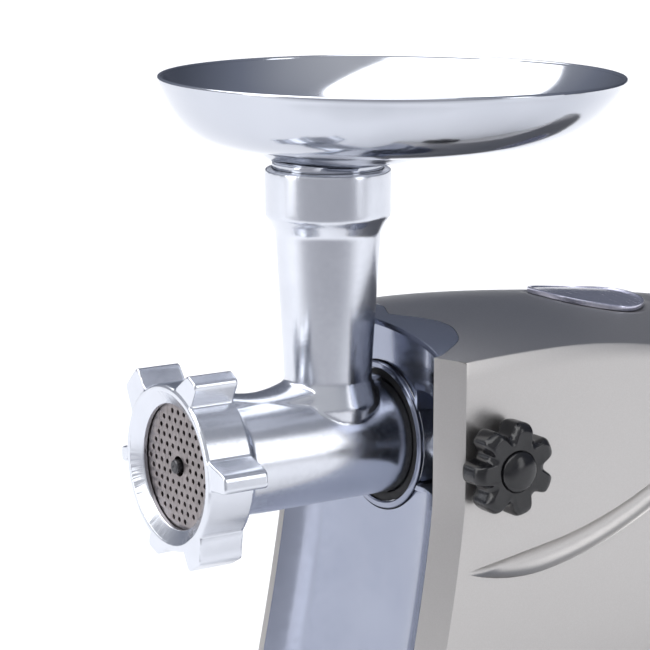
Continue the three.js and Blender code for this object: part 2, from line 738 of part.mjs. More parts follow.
// Spur gear about Y with straight-sided stub teeth; phase turns it about its own axis.
function spurGear({ teeth, pitchModule, from, to, bore, phase }) {
  const pitchRadius = (teeth * pitchModule) / 2;
  const tip = pitchRadius + 0.8 * pitchModule;
  const root = pitchRadius - pitchModule;
  const pressure = THREE.MathUtils.degToRad(25);
  const atTip = toothHalfAngle(tip, pitchRadius, teeth, pressure);
  const atRoot = toothHalfAngle(root, pitchRadius, teeth, pressure) * 0.94;
  const points = [];
  for (let i = 0; i < teeth; i += 1) {
    const middle = phase + (2 * Math.PI * i) / teeth;
    for (const [radius, offset] of [[root, -atRoot], [tip, -atTip], [tip, atTip], [root, atRoot]]) {
      points.push([radius * Math.cos(middle + offset), radius * Math.sin(middle + offset)]);
    }
  }
  const shape = polygon(points);
  const hole = new THREE.Path();
  hole.absarc(0, 0, bore, 0, 2 * Math.PI, true);
  shape.holes.push(hole);
  return acrossY(shape, from, to, 8);
}

// Direction of the line of centres from one axis to another, in the X-Z plane.
const outputToIdler = Math.atan2(idlerZ, idlerX);
const idlerToMotor = Math.atan2(motorZ - idlerZ, motorX - idlerX);

function outputShaft() {
  const body = toSolid(turned([[0, 56.8], [8.6, 56.8], [shaftRadius, 57.4], [shaftRadius, 83.6], [5, 84.4],
    [5, 99.4], [0, 99.4]], 'y', 24));
  return toGeometry(cut(body, toSolid(block(-4.4, 4.4, 50, 68, -4.4, 4.4))));
}

// motor

function stator() {
  const stack = toSolid(acrossY(roundedRectangle(74, 64, 10), 128, 172, 6));
  const slots = [];
  for (const [x, z] of [[26.2, 18.3], [-26.2, 18.3], [26.2, -18.3], [-26.2, -18.3]]) {
    slots.push(toSolid(block(x - 4.3, x + 4.3, 120, 180, z - 6.3, z + 6.3)));
  }
  return toGeometry(cut(stack, toSolid(rod(21.4, 120, 180)), ...slots)).translate(motorX, 0, motorZ);
}

// Rectangular coil that passes through two stator slots; side is 1 above and -1 below the rotor.
function fieldCoil(side) {
  const [low, high] = side > 0 ? [12.8, 23.8] : [-23.8, -12.8];
  const window = block(-22.6, 22.6, 127, 173, -30, 30);
  const body = cut(toSolid(block(-30, 30, 119, 181, low, high)), toSolid(window));
  return toGeometry(body).translate(motorX, 0, motorZ);
}

function rotorCore() {
  const slots = 12;
  const points = [];
  for (let i = 0; i < slots; i += 1) {
    const middle = (2 * Math.PI * i) / slots;
    const tooth = [[13, -0.12], [18.4, -0.08], [20.2, -0.2], [20.4, 0], [20.2, 0.2], [18.4, 0.08],
      [13, 0.12]];
    for (const [radius, offset] of tooth) {
      points.push([radius * Math.cos(middle + offset), radius * Math.sin(middle + offset)]);
    }
  }
  const shape = polygon(points);
  const hole = new THREE.Path();
  hole.absarc(0, 0, 4.3, 0, 2 * Math.PI, true);
  shape.holes.push(hole);
  return acrossY(shape, 129, 171, 6).translate(motorX, 0, motorZ);
}

function coolingFan() {
  const hub = toSolid(ring(4.3, 9, 103, 112, 'y', 18));
  const disc = toSolid(ring(8, 27, 110.4, 112, 'y', 24));
  const blades = [];
  for (let i = 0; i < 9; i += 1) {
    blades.push(toSolid(block(7.5, 26, 103.5, 111, -0.8, 0.8).rotateY((2 * Math.PI * i) / 9)));
  }
  return toGeometry(join(hub, disc, ...blades)).translate(motorX, 0, motorZ);
}

function motorBracket(from) {
  const shape = roundedRectangle(70, 22, 5);
  const hole = new THREE.Path();
  hole.absarc(0, 0, 9, 0, 2 * Math.PI, true);
  shape.holes.push(hole);
  return acrossY(shape, from, from + 3, 6).translate(motorX, 0, motorZ);
}

function motorCradle() {
  const body = toSolid(block(-34, 34, 124, 176, -132.6, -78));
  const seat = toSolid(block(-37.4, 37.4, 120, 180, -87.4, -20));
  const relief = toSolid(block(-26, 26, 100, 200, -124, -60));
  return toGeometry(cut(body, seat, relief));
}

// switch, reset button, gland

function switchBezel() {
  const flange = block(-72.8, -70.3, switchY - 19, switchY + 19, switchZ - 14, switchZ + 14);
  const body = block(-70.6, -52, switchY - 16, switchY + 16, switchZ - 11, switchZ + 11);
  const well = block(-80, -58, switchY - 14, switchY + 14, switchZ - 9, switchZ + 9);
  return toGeometry(cut(join(toSolid(flange), toSolid(body)), toSolid(well)));
}

// Three-position rocker: shallow V-shaped face, round back about its pivot.
function switchRocker() {
  const shape = polygon([[-77.4, 13.2], [-74.6, 0], [-77.4, -13.2], [-71.6, -13.1], [-63.5, -6], [-63.5, 6],
    [-71.6, 13.1]]);
  return upZ(shape, switchZ - 8.6, switchZ + 8.6).translate(0, switchY, 0);
}

function resetButton() {
  return turned([[0, 240], [7, 240], [7, 247], [4.9, 247.4], [4.9, 262.4], [3.9, 263.2], [0, 263.2]], 'y', 14)
    .translate(-34, 0, -104);
}

function cordGland() {
  return turned([[3.9, 250], [7, 250], [7, 259.6], [10, 259.6], [10, 262], [8.4, 263.4],
    [3.9, 263.4], [3.9, 250]], 'y', 14).translate(34, 0, -104);
}

function terminalBlock() {
  const body = toSolid(block(-62, -40, 176, 212, -131, -115));
  const hole = (i) => rod(2.4, -70, -30, 'x', 10).translate(0, 180.5 + i * 9, -122);
  const holes = [0, 1, 2, 3].map((i) => toSolid(hole(i)));
  return toGeometry(cut(body, ...holes));
}

// assembly

addPiece('main_shell', mainShell(), 'satinCasing');
addPiece('front_cover', frontCover(), 'blueGloss');
addPiece('rear_cover', rearCover(), 'satinCasing');
addPiece('base_plate', basePlate(), 'blackPlastic');
addPiece('top_badge', topBadge(), 'badgeSilver');
['front_left', 'front_right', 'rear_left', 'rear_right'].forEach((place, i) => {
  const [x, y] = footPlaces[i];
  addPiece(`foot_${place}`, foot(), 'rubber').position.set(x, y, 0);
  addPiece(`foot_screw_${place}`, footScrew(), 'steel').position.set(x, y, 0);
});
addPiece('socket_ring', socketRing(), 'polished');
addPiece('socket_gasket', socketGasket(), 'rubber');
addPiece('head_socket', headSocket(), 'castAluminium');
addPiece('gear_case', gearCase(), 'castAluminium');
addPiece('gear_case_cover', gearCaseCover(), 'castAluminium');
addPiece('output_bearing_front', ring(9.4, 13, 64.8, 72.6), 'bronze');
addPiece('output_bearing_rear', ring(5.3, 8, 94, 100), 'bronze');
for (const [place, from, to] of [['front', 64.8, 72], ['rear', 94, 100]]) {
  addPiece(`idler_bearing_${place}`, ring(idlerShaftRadius + gap, 7, from, to), 'bronze')
    .position.set(idlerX, 0, idlerZ);
}
addPiece('stator', stator(), 'steel');
addPiece('field_coil_upper', fieldCoil(1), 'copper');
addPiece('field_coil_lower', fieldCoil(-1), 'copper');
addPiece('motor_bracket_front', motorBracket(114), 'steel');
addPiece('motor_bracket_rear', motorBracket(204), 'steel');
addPiece('motor_bearing_front', ring(4.3, 8.7, 114, 118), 'steel').position.set(motorX, 0, motorZ);
addPiece('motor_bearing_rear', ring(4.3, 8.7, 203, 207), 'steel').position.set(motorX, 0, motorZ);
for (const [place, from, to] of [['left', -30, -11.6], ['right', 11.6, 30]]) {
  addPiece(`brush_holder_${place}`, block(from, to, 185, 193, -4, 4), 'blackPlastic')
    .position.set(motorX, 0, motorZ);
}
addPiece('motor_cradle', motorCradle(), 'blackPlastic');
addPiece('switch_bezel', switchBezel(), 'blackPlastic');
addPiece('cord_gland', cordGland(), 'rubber');
addPiece('terminal_block', terminalBlock(), 'nylon');

addPiece('output_shaft', outputShaft(), 'steel');
addPiece('output_gear', spurGear({ teeth: outputTeeth, pitchModule: lowModule, from: 75, to: 82,
  bore: shaftRadius + 0.4, phase: outputToIdler }), 'nylon');
addPiece('idler_shaft', rod(idlerShaftRadius, 65, 99), 'steel').position.set(idlerX, 0, idlerZ);
addPiece('idler_pinion', spurGear({ teeth: idlerPinionTeeth, pitchModule: lowModule, from: 74, to: 83,
  bore: idlerShaftRadius + gap, phase: outputToIdler + Math.PI + Math.PI / idlerPinionTeeth }), 'steel')
  .position.set(idlerX, 0, idlerZ);
addPiece('idler_gear', spurGear({ teeth: idlerTeeth, pitchModule: highModule, from: 86, to: 92,
  bore: idlerShaftRadius + gap, phase: idlerToMotor }), 'nylon').position.set(idlerX, 0, idlerZ);
addPiece('motor_pinion', spurGear({ teeth: motorPinionTeeth, pitchModule: highModule, from: 85.4, to: 92.6,
  bore: 2.2, phase: idlerToMotor + Math.PI + Math.PI / motorPinionTeeth }), 'steel')
  .position.set(motorX, 0, motorZ);
addPiece('motor_shaft', turned([[0, 84.6], [1.9, 84.6], [1.9, 93.4], [4, 93.4], [4, 212], [0, 212]], 'y', 20),
  'steel').position.set(motorX, 0, motorZ);
addPiece('rotor_core', rotorCore(), 'steel');
addPiece('commutator', ring(4.3, 11, 182, 197, 'y', 24), 'copper').position.set(motorX, 0, motorZ);
addPiece('cooling_fan', coolingFan(), 'nylon');

addPiece('grinder_head', grinderHead(), 'castAluminium');
addPiece('auger', auger(), 'castAluminium');
addPiece('auger_stud', augerStud(), 'steel');
addPiece('drive_tang', driveTang(), 'steel');
addPiece('cross_blade', crossBlade(), 'steel');
addPiece('thrust_washer', thrustWasher(), 'nylon');
addPiece('grinding_plate', grindingPlate(), 'plateSteel');
addPiece('ring_nut', ringNut(), 'castAluminium');
addPiece('feed_tray', tray(), 'polished');

addPiece('clamp_shoe', clampShoe(), 'nylon');
addPiece('lock_screw', lockScrew(), 'steel');
addPiece('lock_knob', knob(), 'blackGloss');
addPiece('knob_cap', knobCap(), 'blackGloss');
addPiece('switch_rocker', switchRocker(), 'redPlastic');
addPiece('reset_button', resetButton(), 'blackGloss');

// The finished frame stands the feet on z = 0 with the machine's box centred on x = y = 0.
machine.updateMatrixWorld(true);
const reach = new THREE.Box3().setFromObject(machine);
const assembly = new THREE.Group();
machine.position.set(-(reach.min.x + reach.max.x) / 2, -(reach.min.y + reach.max.y) / 2, barrelHeight);
assembly.add(machine);

export default assembly;
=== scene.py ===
import math

import bmesh
import bpy
import numpy as np
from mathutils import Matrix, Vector


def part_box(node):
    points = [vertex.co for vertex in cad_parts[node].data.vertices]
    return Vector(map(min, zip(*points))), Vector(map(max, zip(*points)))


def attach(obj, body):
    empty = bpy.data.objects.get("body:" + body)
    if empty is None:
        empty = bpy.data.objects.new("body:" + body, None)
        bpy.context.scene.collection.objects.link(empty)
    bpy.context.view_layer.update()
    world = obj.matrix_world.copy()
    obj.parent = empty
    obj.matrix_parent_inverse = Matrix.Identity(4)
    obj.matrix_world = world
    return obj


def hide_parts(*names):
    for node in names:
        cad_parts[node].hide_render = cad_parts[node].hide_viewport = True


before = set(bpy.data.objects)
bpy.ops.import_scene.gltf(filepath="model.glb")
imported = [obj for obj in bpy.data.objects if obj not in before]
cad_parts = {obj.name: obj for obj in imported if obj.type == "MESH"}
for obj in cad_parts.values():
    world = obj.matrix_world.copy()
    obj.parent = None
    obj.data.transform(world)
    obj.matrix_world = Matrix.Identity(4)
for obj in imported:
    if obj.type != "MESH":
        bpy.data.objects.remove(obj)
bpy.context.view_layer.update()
print("frame loaded")

# Shapes are drawn in millimetres from the point where the barrel's axis (Y) crosses the feed tube's
# axis (Z). The plate at the barrel's mouth gives that point.
plate = {"face": -76.5, "radius": 31, "thickness": 5, "pitch": 5.0, "rowStep": 3.95, "hole": 1.15,
         "reach": (6.2, 25.2), "centreHole": 4.4, "chamfer": 0.2}
plateLow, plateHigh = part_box("grinding_plate")
crossing = np.array([(plateLow.x + plateHigh.x) / 2, plateLow.y - plate["face"] / 1000,
                     (plateLow.z + plateHigh.z) / 2])
tableTop = -crossing[2] * 1000  # the table, seen from the crossing


# mesh work

def newPiece(name, points, faces):
    mesh = bpy.data.meshes.new(name)
    placed = np.asarray(points, float) * 0.001 + crossing
    mesh.from_pydata(placed.tolist(), [], [tuple(f) for f in faces])
    piece = bpy.data.objects.new(name, mesh)
    bpy.context.scene.collection.objects.link(piece)
    return piece


def mend(piece, weld=0.00001):
    # joins doubled points and turns all faces outward
    work = bmesh.new()
    work.from_mesh(piece.data)
    bmesh.ops.remove_doubles(work, verts=work.verts, dist=weld)
    bmesh.ops.dissolve_degenerate(work, edges=work.edges, dist=weld / 10)
    bmesh.ops.recalc_face_normals(work, faces=work.faces)
    work.to_mesh(piece.data)
    work.free()
    return piece


def settle(piece):
    # turns the modifiers into plain mesh
    bpy.context.view_layer.update()
    seen = piece.evaluated_get(bpy.context.evaluated_depsgraph_get())
    made = bpy.data.meshes.new_from_object(seen)
    piece.modifiers.clear()
    piece.data = made
    return piece


def combine(piece, kind, *tools):
    for tool in tools:
        step = piece.modifiers.new(kind, "BOOLEAN")
        step.operation = kind
        step.solver = "EXACT"
        step.object = tool
        settle(piece)
        bpy.data.objects.remove(tool)
    return piece


def cut(piece, *tools):
    return combine(piece, "DIFFERENCE", *tools)


def unite(piece, *tools):
    return combine(piece, "UNION", *tools)


def thicken(piece, wall, inward=True):
    step = piece.modifiers.new("wall", "SOLIDIFY")
    step.thickness = wall / 1000
    step.offset = -1 if inward else 1
    step.use_even_offset = True
    return settle(piece)


def roundEdges(piece, width, steps=3, angle=32):
    step = piece.modifiers.new("edges", "BEVEL")
    step.width = width / 1000
    step.segments = steps
    step.limit_method = "ANGLE"
    step.angle_limit = math.radians(angle)
    step.use_clamp_overlap = True
    return settle(piece)


def fuse(piece, grain, rounds):
    # one skin round overlapping solids, with the inner corners filled as in a casting
    skin = piece.modifiers.new("skin", "REMESH")
    skin.mode = "VOXEL"
    skin.voxel_size = grain / 1000
    soft = piece.modifiers.new("soft", "SMOOTH")
    soft.factor = 0.5
    soft.iterations = rounds
    return settle(piece)


def shade(piece, angle=34):
    piece.data.shade_smooth()
    piece.data.set_sharp_from_angle(angle=math.radians(angle))
    return piece


def gather(name, *pieces):
    # several closed solids in one piece
    first = pieces[0]
    work = bmesh.new()
    for each in pieces:
        work.from_mesh(each.data)
    work.to_mesh(first.data)
    work.free()
    for each in pieces[1:]:
        bpy.data.objects.remove(each)
    first.name = name
    first.data.name = name
    return first


def soften(corners, width=0.5, steps=3, closed=False):
    # rounds the corners of an outline; a third number on a corner is its own width
    points = []
    count = len(corners)
    for i, corner in enumerate(corners):
        here = np.array(corner[:2], float)
        own = corner[2] if len(corner) > 2 else width
        if (not closed and i in (0, count - 1)) or own == 0:
            points.append(tuple(here))
            continue
        before = np.array(corners[i - 1][:2], float) - here
        after = np.array(corners[(i + 1) % count][:2], float) - here
        room = min(own, np.hypot(*before) * 0.48, np.hypot(*after) * 0.48)
        a = here + before / np.hypot(*before) * room
        b = here + after / np.hypot(*after) * room
        for k in range(steps + 1):
            t = k / steps
            points.append(tuple(a * (1 - t) ** 2 + here * 2 * t * (1 - t) + b * t * t))
    return points


def around(axis, radius, along, turn):
    u, v = radius * math.cos(turn), radius * math.sin(turn)
    return {"x": (along, u, v), "y": (u, along, v), "z": (u, v, along)}[axis]


def turnedPiece(name, outline, axis="y", at=(0, 0, 0), steps=128, closed=False):
    # outline points are (radius, place along the axis)
    points = []
    rows = []
    for radius, along in outline:
        if radius < 1e-6:
            rows.append([len(points)] * steps)
            points.append(around(axis, 0, along, 0))
        else:
            rows.append([len(points) + i for i in range(steps)])
            points += [around(axis, radius, along, 2 * math.pi * i / steps) for i in range(steps)]
    pairs = list(zip(rows, rows[1:])) + ([(rows[-1], rows[0])] if closed else [])
    faces = []
    for a, b in pairs:
        for i in range(steps):
            j = (i + 1) % steps
            corners = list(dict.fromkeys([a[i], a[j], b[j], b[i]]))
            if len(corners) > 2:
                faces.append(corners)
    points = np.array(points, float) + np.array(at, float)
    return mend(newPiece(name, points, faces))


def blockPiece(name, low, high):
    x, y, z = zip(low, high)
    points = [(x[i], y[j], z[k]) for i in (0, 1) for j in (0, 1) for k in (0, 1)]
    faces = [(0, 1, 3, 2), (4, 6, 7, 5), (0, 4, 5, 1), (2, 3, 7, 6), (0, 2, 6, 4), (1, 5, 7, 3)]
    return mend(newPiece(name, points, faces))


def rodPiece(name, radius, start, end, axis="y", at=(0, 0, 0), steps=96):
    return turnedPiece(name, [(0, start), (radius, start), (radius, end), (0, end)], axis, at, steps)


def prism(name, outline, start, end, axis="y"):
    # outline is (x, z) for axis y, (x, y) for axis z, (y, z) for axis x
    place = {"x": lambda u, v, w: (w, u, v), "y": lambda u, v, w: (u, w, v),
             "z": lambda u, v, w: (u, v, w)}[axis]
    count = len(outline)
    points = [place(u, v, w) for w in (start, end) for u, v in outline]
    faces = [tuple(range(count)), tuple(range(2 * count - 1, count - 1, -1))]
    faces += [(i, (i + 1) % count, count + (i + 1) % count, count + i) for i in range(count)]
    return mend(newPiece(name, points, faces))


def ringsPiece(name, rings, loop=False, capped=True):
    # a skin through rings of equal point count
    count = len(rings[0])
    points = [p for ring in rings for p in ring]
    faces = []
    total = len(rings)
    for level in range(total if loop else total - 1):
        up = (level + 1) % total
        for i in range(count):
            j = (i + 1) % count
            faces.append((level * count + i, level * count + j, up * count + j, up * count + i))
    if capped and not loop:
        faces.append(tuple(range(count)))
        faces.append(tuple(range((total - 1) * count, total * count)))
    return mend(newPiece(name, points, faces))


def gridFaces(rows, columns, start=0):
    return [(start + r * columns + c, start + r * columns + c + 1,
             start + (r + 1) * columns + c + 1, start + (r + 1) * columns + c)
            for r in range(rows - 1) for c in range(columns - 1)]


def smoothStep(t):
    held = min(1.0, max(0.0, t))
    return held * held * (3 - 2 * held)


# finishes

class Recipe:
    # one node material; its textures follow the piece, and their scales are per metre
    def __init__(self, name, metal, rough, **more):
        self.material = bpy.data.materials.new(name)
        self.material.use_nodes = True
        self.tree = self.material.node_tree
        self.shader = self.tree.nodes["Principled BSDF"]
        self.shader.inputs["Metallic"].default_value = metal
        self.shader.inputs["Roughness"].default_value = rough
        for socket, value in more.items():
            self.shader.inputs[socket.replace("_", " ")].default_value = value
        self.place = self.add("ShaderNodeTexCoord").outputs["Object"]

    def add(self, kind, **inputs):
        node = self.tree.nodes.new(kind)
        for name, value in inputs.items():
            node.inputs[name].default_value = value
        return node

    def link(self, out, into):
        self.tree.links.new(out, into)

    def stretched(self, x, y, z):
        node = self.add("ShaderNodeMapping", Scale=(x, y, z))
        self.link(self.place, node.inputs["Vector"])
        return node.outputs["Vector"]

    def noise(self, scale, detail=4, where=None, rough=0.55):
        node = self.add("ShaderNodeTexNoise", Scale=scale, Detail=detail, Roughness=rough)
        self.link(where or self.place, node.inputs["Vector"])
        return node.outputs["Fac"]

    def cells(self, scale):
        node = self.add("ShaderNodeTexVoronoi", Scale=scale)
        self.link(self.place, node.inputs["Vector"])
        return node.outputs["Distance"]

    def spread(self, value, low, high, start=0.3, end=0.7):
        node = self.add("ShaderNodeMapRange")
        node.inputs["From Min"].default_value = start
        node.inputs["From Max"].default_value = end
        node.inputs["To Min"].default_value = low
        node.inputs["To Max"].default_value = high
        self.link(value, node.inputs["Value"])
        return node.outputs["Result"]

    def colours(self, value, dark, light, start=0.35, end=0.65):
        ramp = self.add("ShaderNodeValToRGB")
        ramp.color_ramp.elements[0].position = start
        ramp.color_ramp.elements[1].position = end
        ramp.color_ramp.elements[0].color = (*dark, 1)
        ramp.color_ramp.elements[1].color = (*light, 1)
        self.link(value, ramp.inputs["Fac"])
        self.link(ramp.outputs["Color"], self.shader.inputs["Base Color"])

    def roughness(self, value, low, high):
        self.link(self.spread(value, low, high), self.shader.inputs["Roughness"])

    def bumps(self, *layers):
        # layers are (value, strength, height in mm)
        last = None
        for value, strength, height in layers:
            node = self.add("ShaderNodeBump", Strength=strength, Distance=height / 1000)
            self.link(value, node.inputs["Height"])
            if last:
                self.link(last, node.inputs["Normal"])
            last = node.outputs["Normal"]
        self.link(last, self.shader.inputs["Normal"])


def castAluminium():
    look = Recipe("castAluminium", 1.0, 0.26)
    look.colours(look.noise(35, 4), (0.62, 0.64, 0.69), (0.67, 0.69, 0.74))
    look.roughness(look.noise(400, 4), 0.19, 0.26)
    look.bumps((look.noise(1500, 3), 0.12, 0.012))
    return look.material


def polishedMetal():
    look = Recipe("polishedMetal", 1.0, 0.08)
    look.colours(look.noise(14, 3), (0.50, 0.52, 0.57), (0.55, 0.57, 0.62))
    look.roughness(look.noise(40, 5), 0.09, 0.13)
    look.bumps((look.noise(2600, 2), 0.05, 0.003))
    return look.material


def satinCasing():
    look = Recipe("satinCasing", 0.9, 0.3)
    look.colours(look.cells(2200), (0.465, 0.450, 0.435), (0.495, 0.480, 0.468), 0.1, 0.8)
    look.roughness(look.noise(900, 3), 0.30, 0.37)
    look.bumps((look.cells(3000), 0.10, 0.008))
    return look.material


def blueGloss():
    look = Recipe("blueGloss", 0.9, 0.14, Coat_Weight=0.3, Coat_Roughness=0.06)
    look.colours(look.noise(26, 3), (0.280, 0.305, 0.385), (0.310, 0.335, 0.415))
    look.roughness(look.noise(220, 4), 0.13, 0.19)
    look.bumps((look.cells(3400), 0.04, 0.006))
    return look.material


def plateSteel():
    look = Recipe("plateSteel", 1.0, 0.34)
    ground = look.noise(70, 4, look.stretched(9, 1, 1))
    look.colours(ground, (0.20, 0.18, 0.18), (0.30, 0.27, 0.27))
    look.roughness(ground, 0.26, 0.42)
    look.bumps((ground, 0.2, 0.02))
    return look.material


def turnedSteel():
    look = Recipe("turnedSteel", 1.0, 0.28)
    fine = look.noise(60, 3, look.stretched(1, 12, 1))
    look.colours(fine, (0.42, 0.43, 0.45), (0.60, 0.61, 0.63))
    look.roughness(look.noise(300, 3), 0.22, 0.36)
    look.bumps((fine, 0.2, 0.015))
    return look.material


# the turned steel again, painted near black: painted shade for the stud sitting in the plate's dark centre
# hole
def steelPaintedShade():
    look = Recipe("steelPaintedShade", 1.0, 0.35)
    fine = look.noise(60, 3, look.stretched(1, 12, 1))
    look.colours(fine, (0.045, 0.045, 0.05), (0.10, 0.10, 0.105))
    look.roughness(look.noise(300, 3), 0.3, 0.42)
    look.bumps((fine, 0.2, 0.015))
    return look.material


# polished metal painted darker as shade in the cove's recess, and tinted blue as a painted reflection of the
# blue panel around it
def socketPaintedShadeAndReflection():
    look = Recipe("socketPaintedShadeAndReflection", 0.95, 0.14)
    look.colours(look.noise(40, 3), (0.24, 0.26, 0.33), (0.28, 0.30, 0.37))
    look.roughness(look.noise(300, 3), 0.12, 0.18)
    look.bumps((look.noise(1500, 2), 0.08, 0.006))
    return look.material


def laminations():
    look = Recipe("laminations", 1.0, 0.45)
    sheets = look.add("ShaderNodeTexWave", Scale=320, Distortion=0.4)
    sheets.bands_direction = "Y"
    look.link(look.place, sheets.inputs["Vector"])
    look.colours(sheets.outputs["Fac"], (0.16, 0.16, 0.17), (0.40, 0.41, 0.43), 0.1, 0.6)
    look.roughness(look.noise(200, 3), 0.35, 0.55)
    look.bumps((sheets.outputs["Fac"], 0.5, 0.06))
    return look.material


def copperWire():
    look = Recipe("copperWire", 0.9, 0.3, Coat_Weight=0.5)
    wires = look.add("ShaderNodeTexWave", Scale=420, Distortion=1.2)
    wires.bands_direction = "Z"
    look.link(look.place, wires.inputs["Vector"])
    look.colours(wires.outputs["Fac"], (0.20, 0.06, 0.02), (0.72, 0.30, 0.13), 0.1, 0.7)
    look.roughness(look.noise(300, 2), 0.22, 0.38)
    look.bumps((wires.outputs["Fac"], 0.7, 0.15))
    return look.material


def sinteredBronze():
    look = Recipe("sinteredBronze", 1.0, 0.45)
    look.colours(look.noise(700, 5), (0.36, 0.25, 0.10), (0.62, 0.47, 0.23))
    look.roughness(look.noise(500, 3), 0.38, 0.55)
    look.bumps((look.cells(1800), 0.3, 0.03))
    return look.material


def mouldedPlastic(name, dark, light, low, high, grain=1600, strength=0.18):
    look = Recipe(name, 0.0, (low + high) / 2)
    look.colours(look.noise(90, 4), dark, light)
    look.roughness(look.noise(400, 3), low, high)
    look.bumps((look.noise(grain, 3), strength, 0.02), (look.noise(60, 2), 0.05, 0.2))
    return look.material


def badgeMetal():
    look = Recipe("badgeMetal", 0.85, 0.22, Coat_Weight=0.3)
    drawn = look.noise(90, 4, look.stretched(1, 14, 1))
    look.colours(drawn, (0.50, 0.50, 0.62), (0.62, 0.62, 0.72))
    look.roughness(drawn, 0.16, 0.28)
    look.bumps((drawn, 0.15, 0.01))
    return look.material


finish = {
    "cast": castAluminium(), "polished": polishedMetal(),
    "casing": satinCasing(), "blue": blueGloss(), "plate": plateSteel(), "steel": turnedSteel(),
    "steelPaintedShade": steelPaintedShade(), "socketPaintedShadeAndReflection": socketPaintedShadeAndReflection(),
    "laminations": laminations(), "copper": copperWire(), "bronze": sinteredBronze(),
    "badge": badgeMetal(),
    "blackGloss": mouldedPlastic("blackGloss", (0.004, 0.004, 0.005), (0.009, 0.009, 0.011), 0.14, 0.26,
                                 900, 0.08),
    "blackPlastic": mouldedPlastic("blackPlastic", (0.010, 0.010, 0.012), (0.020, 0.020, 0.022), 0.42, 0.6),
    "rubber": mouldedPlastic("rubber", (0.008, 0.008, 0.009), (0.018, 0.018, 0.019), 0.65, 0.85, 1200, 0.3),
    "nylon": mouldedPlastic("nylon", (0.62, 0.59, 0.50), (0.74, 0.71, 0.62), 0.35, 0.5),
    "red": mouldedPlastic("red", (0.32, 0.012, 0.010), (0.42, 0.020, 0.016), 0.2, 0.32, 1500, 0.1),
}
print("finishes mixed")


def finishPiece(piece, look, body, slotName, *stoodFor):
    piece.data.materials.clear()
    piece.data.materials.append(finish[look])
    if stoodFor:
        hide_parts(*stoodFor)
    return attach(piece, body)


# casing: a crowned box with chamfered front corners and a long groove pressed into each side

clampAxis = (0, 41, 0)  # the locking screw lies along X through this point
resetAt = (-34, 0, -104)  # the reset button and the cord's gland sit in the rear cover
cordAt = (34, 0, -104)

casing = {
    "halfWidth": 70, "wall": 2.4, "bottom": -135, "rear": 246, "corner": 25, "mouth": (60, 15),
    "edgePeak": 47.6, "edgePeakY": 72, "rows": 84, "edgeRound": 0.9,
    "switch": {"y": 96, "z": -86, "hole": (16.5, 11.5)},
    "groove": {"depth": 3.2, "half": 6.2, "start": 26.5, "grow": 20, "end": 150, "fade": 42},
}


def frontFlare(z):
    return 14 * max(0.0, (-15 - z) / 91) ** 1.3


def sideEdge(y):
    away = y - casing["edgePeakY"]
    return casing["edgePeak"] - (0.0006 if away < 0 else 0.0016) * away ** 2


def crownRise(y):
    return 8.5 + 16.5 * (max(0.0, y - casing["edgePeakY"]) / 128) ** 2


def bodyHalf(y):
    return casing["halfWidth"] - 5 * max(0.0, (y - 190) / 56) ** 2


def topHeight(x, y):
    return sideEdge(y) + crownRise(y) * (1 - (x / bodyHalf(y)) ** 2)


def visorFront(x):
    return 23.2 - 5.2 * (abs(x) / 58) ** 3


def visorBack(x):
    t = abs(x) / 59.6
    lobe = max(0.0, math.sin(math.pi * min(1.0, t / 0.95)))
    return 33 + 11 * lobe ** 1.3 - 14.2 * max(0.0, (t - 0.75) / 0.25) ** 2.2


def grooveAt(y):
    size = casing["groove"]
    held = min(y, size["end"])
    half = size["half"] * max(0.12, math.sin(math.pi / 2 * min(1.0, max(0.0, (y - 26) / 46))) ** 0.8)
    rise = -48.3 + 18.2 * ((held - 45) / 80) ** 2 + 0.597 * max(0.0, y - size["end"])
    centre = min(rise, sideEdge(y) - half - 7)
    fade = size["fade"]
    ends = smoothStep((y - size["start"]) / size["grow"]) * (1 - smoothStep((y - size["end"]) / fade))
    return centre, half, size["depth"] * ends


def sideStations():
    # places up a side wall, as (zone, share): below the groove, across it, above it
    stations = [("below", (i / 14)) for i in range(15)]
    stations += [("across", math.sin(math.pi * (i / 16 - 0.5))) for i in range(1, 16)]
    stations += [("above", i / 10) for i in range(11)]
    return stations


def sidePoint(zone, share, y):
    centre, half, depth = grooveAt(y)
    top = sideEdge(y) - 0.6
    if zone == "below":
        return bodyHalf(y), casing["bottom"] + share * (centre - half - casing["bottom"])
    if zone == "above":
        return bodyHalf(y), centre + half + share * (top - centre - half)
    return bodyHalf(y) - depth * (1 - share * share) ** 0.8, centre + half * share


def casingSkin():
    rows = casing["rows"]
    rear = casing["rear"]
    mouthX = casing["mouth"][0]
    chamfer = [0, 0.25, 0.5, 0.75, 1]
    columns = []
    for side in (-1, 1):
        wall = []
        for zone, share in sideStations():
            start = casing["corner"]
            for _ in range(6):
                start = casing["corner"] - frontFlare(sidePoint(zone, share, start)[1])
            line = []
            for r in range(rows):
                y = start + (r / (rows - 1)) ** 1.15 * (rear - start)
                x, z = sidePoint(zone, share, y)
                line.append((side * x, y, z))
            wall.append(line)
        crown = []
        across = [mouthX + 10 * v for v in reversed(chamfer)]
        across[0] -= 0.35
        across += [59.5 * (1 - k / 26) for k in range(27)]
        for x in across:
            start = x - 45 if x >= mouthX else visorBack(x) + 0.3
            line = []
            for r in range(rows):
                y = start + (r / (rows - 1)) ** 1.15 * (rear - start)
                wide = x * bodyHalf(y) / casing["halfWidth"]
                line.append((side * wide, y, topHeight(wide, y)))
            crown.append(line)
        columns.append(wall + crown)
    sheet = columns[0] + columns[1][-2::-1]
    points = [p for line in sheet for p in line]
    faces = gridFaces(len(sheet), rows)
    return points, faces, columns


